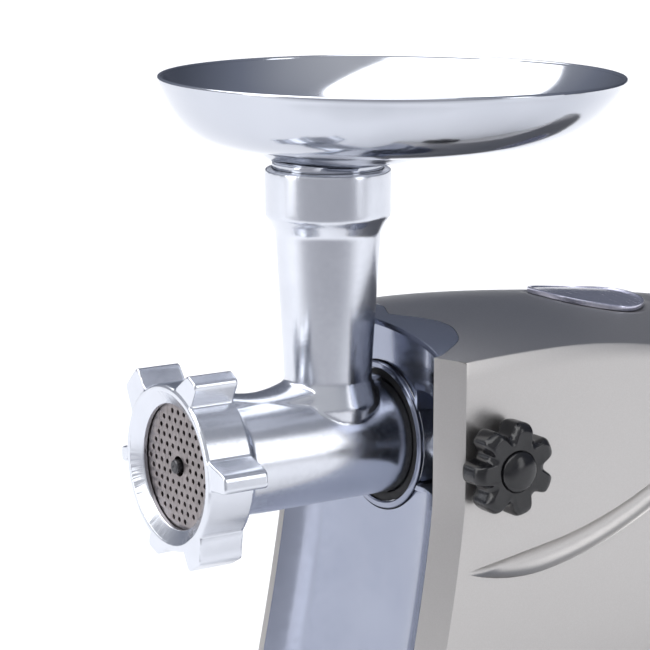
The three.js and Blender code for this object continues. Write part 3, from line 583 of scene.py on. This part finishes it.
def mainShell():
    points, faces, columns = casingSkin()
    stations = len(sideStations())
    shares = [1, 0.75, 0.5, 0.25, 0]
    for side, half in ((-1, columns[0]), (1, columns[1])):
        first = len(points)
        for line, share in enumerate(shares):
            x = casing["mouth"][0] + 10 * share
            top = half[stations + line][0][2]
            for c in range(stations):
                z = half[c][0][2]
                lift = (z - casing["bottom"]) / (half[stations - 1][0][2] - casing["bottom"])
                high = casing["bottom"] + lift * (top - casing["bottom"])
                if share == 1:
                    points.append(half[c][0])
                elif c == stations - 1:
                    points.append(half[stations + line][0])
                else:
                    points.append((side * x, casing["mouth"][1] + 10 * share - frontFlare(high), high))
        faces += gridFaces(len(shares), stations, first)
    shell = mend(newPiece("mainShell", points, faces), 0.00002)
    thicken(shell, casing["wall"])
    switch = casing["switch"]
    wide, high = switch["hole"]
    cut(shell,
        blockPiece("hole", (-76, switch["y"] - wide, switch["z"] - high),
                   (-60, switch["y"] + wide, switch["z"] + high)),
        rodPiece("hole", 4.2, 60, 80, "x", clampAxis))
    roundEdges(shell, casing["edgeRound"], 3, 38)
    return shade(shell)


def rearCover():
    size = {"middle": -50, "wall": 2.4, "slots": 7, "slotHalf": 34, "slotHigh": 4, "slotStep": 9,
            "firstSlot": -52}
    rear = casing["rear"]
    half = bodyHalf(rear)
    right = [(half, casing["bottom"] + (sideEdge(rear) - casing["bottom"]) * i / 20) for i in range(21)]
    crown = [(half * (1 - i / 20), topHeight(half * (1 - i / 20), rear)) for i in range(1, 21)]
    left = [(-x, z) for x, z in (right + crown)[:-1]]
    outline = right + crown + left[::-1]
    profile = soften([(0, 0.3), (0, 4), (3, 9), (9, 13), (40, 13)], 3.5, 6)

    def ring(by, out):
        return [(x * (1 - by / half), rear + out, size["middle"] + (z - size["middle"]) * (1 - by / 86))
                for x, z in outline]
    outer = [ring(by, out) for by, out in profile]
    inner = [ring(by + size["wall"], out - size["wall"]) for by, out in profile[3:]]
    edge = ring(size["wall"], 0.3)
    cover = ringsPiece("rearCover", [*reversed(inner), edge, *outer])
    slots = []
    for i in range(size["slots"]):
        z = size["firstSlot"] + i * size["slotStep"]
        slots.append(prism("slot", soften([(-size["slotHalf"], z), (size["slotHalf"], z),
                                           (size["slotHalf"], z + size["slotHigh"]),
                                           (-size["slotHalf"], z + size["slotHigh"])], 1.9, 4, True),
                           rear + 3, rear + 22))
    cut(cover, *slots, rodPiece("hole", 7.3, rear + 2, rear + 20, at=cordAt),
        rodPiece("hole", 5.3, rear + 2, rear + 20, at=resetAt))
    roundEdges(cover, 0.4, 2, 38)
    return shade(cover)


# front: a cove that a bowl stands under, with a visor over it

front = {"edge": 59.4, "coveDepth": 14, "wall": 2.6, "socketHole": 34.5,
         "window": (30, 56, -17, 27), "pocket": (28, 56.4, -19.4, 29.4), "pocketDepth": 51}


def coveFace(x, z):
    mouthX, mouthY = casing["mouth"]
    return mouthY + 0.3 - frontFlare(z) + front["coveDepth"] * (1 - abs(x / mouthX) ** 4)


def frontCover():
    spanX = [front["edge"] * math.sin(math.pi * (i / 72 - 0.5)) for i in range(73)]
    points = []
    for r in range(91):
        share = r / 90
        for x in spanX:
            low = casing["bottom"] + 0.5
            high = topHeight(x, coveFace(x, 40)) - 1.4
            z = low + share * (high - low)
            points.append((x, coveFace(x, z), z))
    panel = newPiece("frontCover", points, gridFaces(91, 73))
    mend(panel)
    if panel.data.polygons[0].normal.y > 0:
        panel.data.flip_normals()
    thicken(panel, front["wall"])
    points = []
    for r in range(17):
        for x in spanX:
            x = x * 59.2 / front["edge"]
            y = visorFront(x) + r / 16 * (visorBack(x) - visorFront(x))
            points.append((x, y, topHeight(x, y)))
    visor = mend(newPiece("visor", points, gridFaces(17, 73)))
    if visor.data.polygons[0].normal.z < 0:
        visor.data.flip_normals()
    thicken(visor, front["wall"])
    roundEdges(visor, 0.5, 3, 40)
    x0, x1, z0, z1 = front["window"]
    px0, px1, pz0, pz1 = front["pocket"]
    window = prism("window", soften([(x0, z0), (x1, z0), (x1, z1), (x0, z1)], 2.2, 4, True), 10, 48.6)
    pocket = blockPiece("pocket", (px0, 27.5, pz0), (px1, front["pocketDepth"], pz1))
    cut(pocket, blockPiece("well", (x0, 10, z0), (x1, 48.6, z1)))
    cut(panel, window)
    unite(panel, visor, pocket)
    cut(panel, rodPiece("hole", front["socketHole"], 10, 60),
        rodPiece("hole", 10, 20, 70, "x", clampAxis),
        prism("hole", soften([(44.6, 32.4), (49.4, 32.4), (49.4, 37.2), (44.6, 37.2)], 0.6, 3, True), 10, 40))
    return shade(panel, 30)


def topBadge():
    size = {"half": 31, "front": 121, "back": 171, "low": -0.6}
    middle = (size["front"] + size["back"]) / 2
    deep = (size["back"] - size["front"]) / 2
    rings = []
    steps = 96

    def oval(share, height):
        ring = []
        for i in range(steps):
            turn = 2 * math.pi * i / steps
            c, s = math.cos(turn), math.sin(turn)
            x = size["half"] * share * math.copysign(abs(c) ** 0.8, c)
            y = middle + deep * share * math.copysign(abs(s) ** 0.95, s) * (1 - 0.25 * abs(c) ** 3)
            ring.append((x, y, topHeight(x, y) + height))
        return ring
    for share, height in [(0.3, size["low"]), (0.985, size["low"]), (1.0, 0.8), (0.995, 1.7), (0.975, 2.0),
                          (0.945, 1.9), (0.93, 1.3), (0.9, 1.2), (0.6, 1.35), (0.3, 1.45), (0.04, 1.5)]:
        rings.append(oval(share, height))
    badge = shade(ringsPiece("topBadge", rings), 40)
    seat = ringsPiece("seat", [oval(1.05, -0.9), oval(1.07, -0.5), oval(1.16, 0.05), oval(1.17, 6)])
    return badge, seat


badge, seat = topBadge()
finishPiece(shade(cut(mainShell(), seat)), "casing", "housing", "satin_casing", "main_shell")
finishPiece(rearCover(), "casing", "housing", "satin_casing", "rear_cover")
finishPiece(frontCover(), "blue", "housing", "blue_gloss", "front_cover")
finishPiece(badge, "badge", "housing", "badge_silver", "top_badge")
print("casing made")


# socket that holds the grinding head

def socketRing():
    section = soften([(30.6, 27.2), (31.2, 26.6), (33.4, 26.6), (33.9, 27.2), (33.9, 28.7), (30.6, 28.7)],
                     0.3, 3, True)
    return shade(turnedPiece("socketRing", section, steps=160, closed=True))


def socketGasket():
    section = soften([(26.6, 28.0), (30.3, 27.7), (30.3, 28.7), (27.6, 28.7), (27.6, 34), (26.4, 34)], 0.3, 3,
                     True)
    return shade(turnedPiece("socketGasket", section, closed=True))


def headSocket():
    section = soften([(9.4, 60), (27.9, 60), (27.9, 29), (33.4, 29), (33.4, 58), (44, 60), (44, 64),
                      (9.4, 64)], 0.6, 3, True)
    cup = turnedPiece("headSocket", section, closed=True)
    boss = turnedPiece("boss", soften([(0, 30), (9, 30), (9, 55.6, 1.0), (0, 55.6)], 0.4), "x", clampAxis)
    cut(boss, rodPiece("clear", 28.4, 20, 59))
    unite(cup, boss)
    cut(cup, rodPiece("bore", 4.6, 20, 60, "x", clampAxis))
    return shade(cup)


# the ring's colour carries painted shade and a painted blue reflection
finishPiece(socketRing(), "socketPaintedShadeAndReflection", "housing", "polished_metal", "socket_ring")
finishPiece(socketGasket(), "rubber", "housing", "rubber", "socket_gasket")
finishPiece(headSocket(), "cast", "housing", "cast_aluminium", "head_socket")
print("socket made")


# grinding head: barrel and feed tube in one casting, bored through

head = {"barrel": 26, "bore": 22.5, "rear": 56, "front": -76, "thread": 33.4, "tubeTop": 23.5,
        "tubeWaist": 19.3, "collar": 27.6, "collarTop": 124, "grain": 0.75, "rounds": 7}


def tubeRadius(z):
    return head["tubeWaist"] + (head["tubeTop"] - head["tubeWaist"]) * max(0.0, (z - 26) / 75) ** 1.1


def grinderHead():
    barrel = turnedPiece("grinderHead", [
        (0, head["rear"]), (24.4, head["rear"]), (24.4, 50), (head["barrel"], 49), (head["barrel"], -54),
        (head["thread"], -59), (head["thread"], head["front"]), (0, head["front"])], steps=160)
    side = [(0, 0), (tubeRadius(0) + 1.5, 0), (tubeRadius(22) + 4, 20), (tubeRadius(26) + 1.4, 26.5)]
    side += [(tubeRadius(z), z) for z in range(30, 102, 6)]
    side += [(head["collar"] - 2.2, 100.6), (head["collar"], 103.4), (head["collar"], head["collarTop"]),
             (0, head["collarTop"])]
    tube = turnedPiece("tube", side, "z", steps=160)
    saddle = []
    for i in range(13):
        t = i / 12
        y = -57 + t * 42
        height = 30.5 - 3.2 * math.sin(math.pi * t)
        width = 9 + 6 * t * t
        ring = [(-width, y, 15), (width, y, 15)]
        ring += [(width * math.cos(a), y, height - 5 + 5 * math.sin(a))
                 for a in [math.pi * k / 12 for k in range(13)]]
        saddle.append(ring)
    rib = ringsPiece("rib", saddle)
    stop = blockPiece("stop", (-5, 21, 24), (5, 26.2, 28.8))
    body = gather("grinderHead", barrel, tube, rib, stop)
    fuse(body, head["grain"], head["rounds"])
    bore = turnedPiece("bore", [(0, 70), (9.4, 70), (9.4, 48), (head["bore"], 48), (head["bore"], -66),
                                (31.5, -66), (31.5, -90), (0, -90)], steps=160)
    feed = turnedPiece("feed", [(0, 0), (16, 0), (16, 30), (20.2, 102), (20.2, 105), (24.8, 105),
                                (24.8, 130), (0, 130)], "z", steps=160)
    cut(body, bore, feed)
    return shade(body, 40)


def augerPiece():
    size = {"start": -61, "end": 45, "pitch": 26, "outer": 21.4, "perTurn": 40, "grain": 0.8}
    core = turnedPiece("auger", soften([
        (0, size["start"]), (9, size["start"]), (8, size["start"] + 6), (11.5, size["end"]),
        (16, size["end"] + 1.5), (0, size["end"] + 1.5)], 1.0), steps=96)
    length = size["end"] - size["start"] - 4
    steps = round(length / size["pitch"] * size["perTurn"])
    rings = []
    for i in range(steps + 1):
        y = size["start"] + 2 + length * i / steps
        turn = 2 * math.pi * i / size["perTurn"]
        grow = min(1.0, i / 12 + 0.4) * min(1.0, (steps - i) / 29 + 0.55)
        outer = 9 + (size["outer"] - 9) * min(1.0, grow)
        rings.append([(r * math.cos(turn), y + along, r * math.sin(turn))
                      for r, along in [(5, -2.1), (outer, -1.1), (outer, 1.1), (5, 2.1)]])
    flight = ringsPiece("flight", rings)
    whole = fuse(gather("auger", core, flight), size["grain"], 3)
    cut(whole, blockPiece("hole", (-3.4, -70, -3.4), (3.4, -52, 3.4)),
        blockPiece("hole", (-4.3, 30, -4.3), (4.3, 60, 4.3)))
    return shade(whole, 40)


def augerStud():
    square = roundEdges(blockPiece("square", (-3.1, -70.9, -3.1), (3.1, -52.5, 3.1)), 0.3, 2)
    outline = soften([(0, -79), (2.5, -79, 0.3), (3.1, -78.4, 0.3), (3.1, -71), (0, -71)], 0.2)
    pin = turnedPiece("pin", outline, steps=64)
    centre = turnedPiece("centre", [(0, -77.6), (1.1, -79.2), (0, -79.2)], steps=48)
    cut(pin, centre)
    return shade(gather("augerStud", pin, square))


def crossBlade():
    outline = []
    for i in range(4):
        turn = i * math.pi / 2
        c, s = math.cos(turn), math.sin(turn)
        for r, o, w in [(9, -7, 1.5), (25, -5, 1), (27.5, -1, 1.5), (26.5, 3.4, 1), (9, 4.6, 2)]:
            outline.append((r * c - o * s, r * s + o * c, w))
    blade = prism("crossBlade", soften(outline, 1.5, 4, True), -71, -66.6)
    unite(blade, rodPiece("hub", 9, -70.98, -64.5))
    cut(blade, blockPiece("hole", (-3.5, -75, -3.5), (3.5, -60, 3.5)))
    return shade(roundEdges(blade, 0.3, 2, 50))


def grindingPlate():
    # flat outline with its holes, thickened and chamfered by the curve itself
    curve = bpy.data.curves.new("grindingPlate", "CURVE")
    curve.dimensions = "2D"
    curve.fill_mode = "BOTH"
    curve.extrude = (plate["thickness"] / 2 - plate["chamfer"]) / 1000
    curve.bevel_depth = plate["chamfer"] / 1000
    curve.bevel_resolution = 2
    curve.resolution_u = 1

    def circle(x, z, radius, steps):
        line = curve.splines.new("POLY")
        line.points.add(steps - 1)
        for i, point in enumerate(line.points):
            turn = 2 * math.pi * i / steps
            point.co = ((x + radius * math.cos(turn)) / 1000, (z + radius * math.sin(turn)) / 1000, 0, 1)
        line.use_cyclic_u = True
    circle(0, 0, plate["radius"] - plate["chamfer"], 128)
    circle(0, 0, plate["centreHole"] + plate["chamfer"], 48)
    near, far = plate["reach"]
    for row in range(-6, 7):
        for column in range(-7, 8):
            x = (column + (abs(row) % 2) / 2) * plate["pitch"]
            z = row * plate["rowStep"]
            if near < math.hypot(x, z) < far:
                circle(x, z, plate["hole"] + plate["chamfer"], 20)
    flat = bpy.data.objects.new("flat", curve)
    bpy.context.scene.collection.objects.link(flat)
    bpy.context.view_layer.update()
    mesh = bpy.data.meshes.new_from_object(flat.evaluated_get(bpy.context.evaluated_depsgraph_get()))
    bpy.data.objects.remove(flat)
    co = np.array([v.co for v in mesh.vertices]) * 1000
    faces = [tuple(p.vertices) for p in mesh.polygons]
    middle = plate["face"] + plate["thickness"] / 2
    return shade(mend(newPiece("grindingPlate", np.c_[co[:, 0], co[:, 2] + middle, co[:, 1]], faces)), 30)


ringNut = {
    "radius": 36.5, "front": -82.5, "rear": -60.5, "opening": 27.5, "inside": 33.9, "grain": 0.5, "rounds": 5,
    # angle, half width, tip radius and lean of each grip lug, seen from the front
    "lugs": [(4, 5.5, 48.6, 5), (64, 6, 47.6, 7), (134, 10, 47.6, 5), (184, 5.5, 42.5, -4),
             (251, 7.5, 42.8, 5), (300, 8.5, 45.4, 8)],
}


def ringNutPiece():
    outer, first, last = ringNut["radius"], ringNut["front"], ringNut["rear"]
    band = [(33, last + 0.2), (outer, last), (outer, first + 0.9), (outer - 0.9, first), (33, first)]
    shell = turnedPiece("ringNut", band, steps=200, closed=True)
    parts = [shell]
    for angle, half, tip, lean in ringNut["lugs"]:
        def spot(radius, degrees, width, angle=angle):
            turn = math.radians(angle + degrees)
            return radius * math.cos(turn), radius * math.sin(turn), width
        outline = [spot(34.2, -half - 3, 0.2), spot(37.2, -half - 1.2, 1.6), spot(tip - 1.6, -half, 1),
                   spot(tip, 1.5 - half, 1), spot(tip, half - 2.5, 1.4), spot(tip - 2.4, half - 0.4, 2),
                   spot(38.4, half + lean, 2.5), spot(34.2, half + lean + 5, 0.2)]
        parts.append(prism("lug", soften(outline, 1, 4, True), first + 0.6, last - 0.2))
    whole = fuse(gather("ringNut", *parts), ringNut["grain"], ringNut["rounds"])
    cavity = turnedPiece("cavity", [
        (0, last + 5), (34.5, last + 5), (ringNut["inside"] + 0.5, last), (ringNut["inside"], last - 0.7),
        (ringNut["inside"], plate["face"] - 0.4), (0, plate["face"] - 0.4)], steps=200)
    return whole, cavity


def ringNutBored():
    # the front lip carries the plate, so it is turned separately and joined to the lugged band
    whole, cavity = ringNutPiece()
    first = ringNut["front"]
    back = plate["face"] - 0.4
    section = soften([(33.8, back), (35.4, back), (35.4, first + 0.25, 0.3), (33.6, first + 0.1, 0.5),
                      (ringNut["opening"], first + 3.6, 0.5), (ringNut["opening"], back, 0.3)], 0.3, 3, True)
    lip = turnedPiece("lip", section, steps=200, closed=True)
    unite(whole, lip)
    cut(whole, cavity)
    return shade(whole, 40)


tray = {"rimX": 106.6, "rimY": 102.1, "centreY": 33, "rimZ": 163, "depth": 30, "wall": 1.6, "lip": 1.1,
        "steps": 176}


def feedTray():
    steps = tray["steps"]

    def bowl(rho):
        return tray["rimZ"] - tray["depth"] * (1 - rho ** 7) ** 0.96 - 6 * smoothStep((0.46 - rho) / 0.2)

    def oval(rho, z, shrink):
        shift = tray["centreY"] * max(0.0, (rho - 0.24) / 0.76) ** 0.71
        return [((tray["rimX"] * rho - shrink) * math.cos(2 * math.pi * i / steps),
                 shift + (tray["rimY"] * rho - shrink) * math.sin(2 * math.pi * i / steps), z)
                for i in range(steps)]

    def circle(radius, z):
        return [(radius * math.cos(2 * math.pi * i / steps), radius * math.sin(2 * math.pi * i / steps), z)
                for i in range(steps)]
    stations = [0.25, 0.27, 0.3, 0.34, 0.38, 0.42, 0.46, 0.51, 0.56, 0.61, 0.66, 0.71, 0.76, 0.80, 0.84,
                0.87, 0.9, 0.92, 0.94, 0.957, 0.97, 0.98, 0.988]
    spigot = [(21.6, 106), (24.1, 106), (24.4, 106.3), (24.4, 124.8), (24.8, 126.2)]
    rings = [circle(radius, z) for radius, z in spigot]
    rings += [oval(rho, bowl(rho), 0) for rho in stations]
    for k in range(9):
        turn = math.pi * k / 8
        height = tray["rimZ"] - tray["lip"] + tray["lip"] * math.sin(turn)
        rings.append(oval(1, height, 1.0 - math.cos(turn)))
    for rho in reversed(stations):
        rings.append(oval(rho, bowl(rho) + tray["wall"], tray["wall"] * rho))
    rings += [circle(23.2, 127.9), circle(22.0, 126.6), circle(21.6, 125.2)]
    return shade(ringsPiece("feedTray", rings, loop=True), 50)


def thrustWasher():
    return shade(turnedPiece("thrustWasher", soften([(9.3, 46.9), (14, 46.9), (14, 47.7), (9.3, 47.7)],
                                                    0.15, 2, True), closed=True, steps=64))


def driveTang():
    square = roundEdges(blockPiece("driveTang", (-4, 31, -4), (4, 66, 4)), 0.4, 2)
    journal = turnedPiece("journal", soften([(0, 48.6), (8.9, 48.6), (8.9, 56.2), (0, 56.2)], 0.4), steps=64)
    return shade(unite(square, journal))


finishPiece(grinderHead(), "cast", "head", "cast_aluminium", "grinder_head")
finishPiece(thrustWasher(), "nylon", "head", "nylon", "thrust_washer")
finishPiece(augerPiece(), "cast", "auger_unit", "cast_aluminium", "auger")
# the stud's steel carries painted shade, near black as in the plate's centre hole
finishPiece(augerStud(), "steelPaintedShade", "auger_unit", "steel", "auger_stud")
finishPiece(driveTang(), "steel", "auger_unit", "steel", "drive_tang")
finishPiece(crossBlade(), "steel", "auger_unit", "steel", "cross_blade")
finishPiece(grindingPlate(), "plate", "plate", "plate_steel", "grinding_plate")
finishPiece(ringNutBored(), "cast", "ring", "cast_aluminium", "ring_nut")
finishPiece(feedTray(), "polished", "tray", "polished_metal", "feed_tray")
print("grinding head made")


# locking knob with its screw

knob = {"y": clampAxis[1], "mean": 18.0, "lobe": 2.9, "lobes": 7, "steep": 1.9, "lean": 0.3}


def lockKnob():
    steps = 280
    outline = []
    for i in range(steps):
        turn = 2 * math.pi * i / steps
        wave = knob["lean"] - math.cos(knob["lobes"] * turn)
        swell = math.tanh(knob["steep"] * wave) / math.tanh(knob["steep"])
        outline.append((turn, knob["mean"] + knob["lobe"] * swell))
    section = soften([(-6, 73), (-1.0, 73, 1.0), (0, 75, 1.2), (0, 83.8, 2.4), (-2.4, 86.8, 2.2),
                      (-6.5, 86.6)], 1, 6)
    rings = [[(x, knob["y"] + (r + inset) * math.cos(a), (r + inset) * math.sin(a)) for a, r in outline]
             for inset, x in section]
    body = ringsPiece("lockKnob", rings)
    cut(body, rodPiece("bore", 3.3, 60, 84, "x", clampAxis, 48),
        rodPiece("seat", 9.4, 84.6, 95, "x", clampAxis, 96))
    return shade(body, 30)


def knobCap():
    outline = soften([(0, 84.9), (9, 84.9, 0.3), (9, 87.6, 0.8), (7.4, 89.3, 1.5), (4.2, 90.4, 1.5),
                      (0, 90.8)], 0.5, 5)
    return shade(turnedPiece("knobCap", outline, "x", clampAxis, 96), 50)


def lockScrew():
    size = {"radius": 3, "start": 31.2, "end": 83.6, "pitch": 1.5, "deep": 0.45, "perTurn": 24}
    rows = int((size["end"] - size["start"]) / size["pitch"] * 8)
    rings = []
    for r in range(rows + 1):
        x = size["start"] + (size["end"] - size["start"]) * r / rows
        inside = min(1.0, r / 8, (rows - r) / 8)
        ring = []
        for i in range(size["perTurn"]):
            turn = 2 * math.pi * i / size["perTurn"]
            phase = (x / size["pitch"] - i / size["perTurn"]) % 1
            groove = size["deep"] * (1 - abs(2 * phase - 1)) * inside
            radius = size["radius"] - groove - 0.4 * (1 - inside)
            ring.append((x, knob["y"] + radius * math.cos(turn), radius * math.sin(turn)))
        rings.append(ring)
    return shade(ringsPiece("lockScrew", rings), 60)


def clampShoe():
    outline = soften([(0, 26.4), (3.6, 26.4), (4.2, 27), (4.2, 30.9), (0, 30.9)], 0.3, 3)
    return shade(turnedPiece("clampShoe", outline, "x", clampAxis, 64))


finishPiece(lockKnob(), "blackGloss", "knob", "black_gloss", "lock_knob")
finishPiece(knobCap(), "blackGloss", "knob", "black_gloss", "knob_cap")
finishPiece(lockScrew(), "steel", "knob", "steel", "lock_screw")
finishPiece(clampShoe(), "nylon", "clamp", "nylon", "clamp_shoe")
print("locking knob made")


# switch, reset button, cord gland and feet

def switchBezel():
    y, z = casing["switch"]["y"], casing["switch"]["z"]
    flange = blockPiece("switchBezel", (-72.8, y - 19, z - 14), (-70.3, y + 19, z + 14))
    unite(flange, blockPiece("body", (-70.6, y - 16, z - 11), (-52, y + 16, z + 11)))
    cut(flange, blockPiece("well", (-80, y - 14, z - 9), (-58, y + 14, z + 9)))
    return shade(roundEdges(flange, 0.6, 3))


def switchRocker():
    y, z = casing["switch"]["y"], casing["switch"]["z"]
    outline = soften([(-77.4, y + 13.2, 1.2), (-74.6, y, 8), (-77.4, y - 13.2, 1.2), (-71.6, y - 13.5, 1),
                      (-63.5, y - 6), (-63.5, y + 6), (-71.6, y + 13.5, 1)], 1, 6, True)
    rocker = prism("switchRocker", outline, z - 8.6, z + 8.6, "z")
    roundEdges(rocker, 0.5, 3, 40)
    bar = blockPiece("bar", (-77.6, y - 9.6, z - 2.6), (-75.9, y - 8.6, z + 2.6))
    hoop = [(1.7, -77.6), (2.6, -77.6), (2.6, -75.9), (1.7, -75.9)]
    mark = turnedPiece("mark", hoop, "x", (0, y + 9, z), 48, True)
    return shade(cut(rocker, bar, mark))


def resetButton():
    outline = soften([(0, 240), (7, 240), (7, 247), (4.9, 247.4), (4.9, 262.4, 0.5), (3.9, 263.1, 0.4),
                      (0, 262.7)], 0.3, 3)
    return shade(turnedPiece("resetButton", outline, "y", resetAt, 64))


def cordGland():
    outline = [(3.9, 250), (7, 250), (7, 259.6), (10, 259.6, 0.3), (10, 262, 0.8), (8.4, 263.2, 0.4),
               (5.2, 263.3, 0.3), (3.9, 262.4, 0.3)]
    return shade(turnedPiece("cordGland", soften(outline, 0.3, 3, True), "y", cordAt, 64, True))


def foot(place, x, y):
    floor = tableTop
    outline = soften([(2.6, -136.3), (2.6, -140.3), (5.4, -140.3), (5.4, floor, 0.5), (7.4, floor, 0.2),
                      (7.8, floor + 0.7, 0.2), (8.6, floor + 0.7, 0.2), (9, floor, 0.2), (11.4, floor, 0.8),
                      (12.2, -139.6, 0.4), (11.7, -139, 0.3), (12.3, -138.4, 0.4), (12.6, -136.3, 0.4)],
                     0.3, 3, True)
    return shade(turnedPiece("foot_" + place, outline, "z", (x, y, 0), 72, True))


def footScrew(place, x, y):
    outline = soften([(0, -143.6), (3.2, -143.6), (4.8, -142), (4.8, -140.6), (2.2, -140.6), (2.2, -127),
                      (0, -127)], 0.3, 3)
    screw = turnedPiece("footScrew_" + place, outline, "z", (x, y, 0), 48)
    cut(screw, blockPiece("slot", (x - 2.4, y - 0.45, -145), (x + 2.4, y + 0.45, -142.2)),
        blockPiece("slot", (x - 0.45, y - 2.4, -145), (x + 0.45, y + 2.4, -142.2)))
    return shade(screw)


finishPiece(switchBezel(), "blackPlastic", "housing", "black_plastic", "switch_bezel")
finishPiece(switchRocker(), "red", "rocker", "red_plastic", "switch_rocker")
finishPiece(resetButton(), "blackGloss", "reset", "black_gloss", "reset_button")
finishPiece(cordGland(), "rubber", "housing", "rubber", "cord_gland")
for place in ("front_left", "front_right", "rear_left", "rear_right"):
    low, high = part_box("foot_" + place)
    spot = (np.array((low + high) / 2) - crossing) * 1000
    finishPiece(foot(place, spot[0], spot[1]), "rubber", "housing", "rubber", "foot_" + place)
    finishPiece(footScrew(place, spot[0], spot[1]), "steel", "housing", "steel", "foot_screw_" + place)
print("small pieces made")


# the drive inside keeps its own solids

driveLooks = {
    "gear_case": "cast", "gear_case_cover": "cast", "base_plate": "blackPlastic",
    "motor_cradle": "blackPlastic",
    "stator": "laminations", "rotor_core": "laminations", "field_coil_upper": "copper",
    "field_coil_lower": "copper", "commutator": "copper", "motor_bracket_front": "steel",
    "motor_bracket_rear": "steel", "motor_bearing_front": "steel", "motor_bearing_rear": "steel",
    "brush_holder_left": "blackPlastic", "brush_holder_right": "blackPlastic", "terminal_block": "nylon",
    "output_bearing_front": "bronze", "output_bearing_rear": "bronze", "idler_bearing_front": "bronze",
    "idler_bearing_rear": "bronze", "output_shaft": "steel", "output_gear": "nylon", "idler_shaft": "steel",
    "idler_pinion": "steel", "idler_gear": "nylon", "motor_pinion": "steel", "motor_shaft": "steel",
    "cooling_fan": "nylon",
}
for node, look in driveLooks.items():
    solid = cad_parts[node]
    solid.data.materials.clear()
    solid.data.materials.append(finish[look])
print("drive finished")


# studio

studio = {
    # the floor's grey is painted shade on its front right; the pale is the lit sheet
    "floor": 30, "floorPale": (0.93, 0.93, 0.94), "floorPaintedShade": (0.34, 0.34, 0.36),
    "camera": (0.84006, -0.63298, 0.40047), "turn": (78.59, 0, 57.22), "lens": 127.49,
    "sun": {"power": 2.9, "spread": 75, "from": (-0.25, -0.35, 1.0)},
    "lamps": [
        # name, place, aim, width, height, power
        ("frontSoftbox", (-0.45, -2.1, 0.75), (0, 0, 0.15), 0.7, 1.5, 9),
        ("sideSoftbox", (2.0, 0.95, 0.8), (0, 0, 0.15), 0.6, 1.6, 7),
    ],
}


def studioFloor():
    half = studio["floor"]
    mesh = bpy.data.meshes.new("floor")
    corners = [(-half, -half, 0), (half, -half, 0), (half, half, 0), (-half, half, 0)]
    mesh.from_pydata(corners, [], [(0, 1, 2, 3)])
    floor = bpy.data.objects.new("floor", mesh)
    bpy.context.scene.collection.objects.link(floor)
    look = Recipe("floorPaperWithPaintedShade", 0.0, 0.7)
    # painted shade: the sheet is painted darker towards the front right, around where the camera stands, for
    # the casing to reflect
    along = look.add("ShaderNodeVectorMath")
    along.operation = "DOT_PRODUCT"
    along.inputs[1].default_value = (-0.8, 0.6, 0)
    look.link(look.place, along.inputs[0])
    grain = look.spread(look.noise(6, 2), -0.02, 0.02)
    both = look.add("ShaderNodeMath")
    look.link(along.outputs["Value"], both.inputs[0])
    look.link(grain, both.inputs[1])
    look.colours(look.spread(both.outputs["Value"], 0, 1, -0.62, -0.26), studio["floorPaintedShade"],
                 studio["floorPale"], 0, 1)
    mesh.materials.append(look.material)


def studioLight():
    for name, place, aim, width, height, power in studio["lamps"]:
        lamp = bpy.data.lights.new(name, "AREA")
        lamp.shape = "RECTANGLE"
        lamp.size = width
        lamp.size_y = height
        lamp.energy = power
        holder = bpy.data.objects.new(name, lamp)
        holder.location = place
        holder.rotation_euler = (Vector(aim) - Vector(place)).to_track_quat("-Z", "Y").to_euler()
        bpy.context.scene.collection.objects.link(holder)
    sun = bpy.data.lights.new("sky", "SUN")
    sun.energy = studio["sun"]["power"]
    sun.angle = math.radians(studio["sun"]["spread"])
    holder = bpy.data.objects.new("sky", sun)
    holder.rotation_euler = Vector(studio["sun"]["from"]).to_track_quat("Z", "Y").to_euler()
    bpy.context.scene.collection.objects.link(holder)
    # walls of the room: paler in front, darker behind the machine
    world = bpy.data.worlds.new("room")
    world.use_nodes = True
    tree = world.node_tree
    back = tree.nodes["Background"]
    where = tree.nodes.new("ShaderNodeTexCoord")
    aim = tree.nodes.new("ShaderNodeVectorMath")
    aim.operation = "DOT_PRODUCT"
    aim.inputs[1].default_value = Vector((0.35, -0.75, 0.55)).normalized()
    ramp = tree.nodes.new("ShaderNodeValToRGB")
    shift = tree.nodes.new("ShaderNodeMapRange")
    shift.inputs["From Min"].default_value = -1
    tree.links.new(where.outputs["Generated"], aim.inputs[0])
    tree.links.new(aim.outputs["Value"], shift.inputs["Value"])
    tree.links.new(shift.outputs["Result"], ramp.inputs["Fac"])
    bands = ramp.color_ramp
    bands.elements[0].position = 0.12
    bands.elements[0].color = (0.09, 0.10, 0.13, 1)
    bands.elements[1].position = 0.85
    bands.elements[1].color = (0.62, 0.63, 0.66, 1)
    middle = bands.elements.new(0.45)
    middle.color = (0.24, 0.26, 0.32, 1)
    tree.links.new(ramp.outputs["Color"], back.inputs["Color"])
    back.inputs["Strength"].default_value = 1.0
    bpy.context.scene.world = world


def studioCamera():
    view = bpy.data.cameras.new("camera")
    view.lens = studio["lens"]
    view.sensor_width = 36
    view.clip_end = 100
    holder = bpy.data.objects.new("camera", view)
    holder.location = studio["camera"]
    holder.rotation_euler = tuple(math.radians(a) for a in studio["turn"])
    bpy.context.scene.collection.objects.link(holder)
    bpy.context.scene.camera = holder


studioFloor()
studioLight()
studioCamera()
bpy.context.scene.view_settings.view_transform = "Standard"
print("studio set")
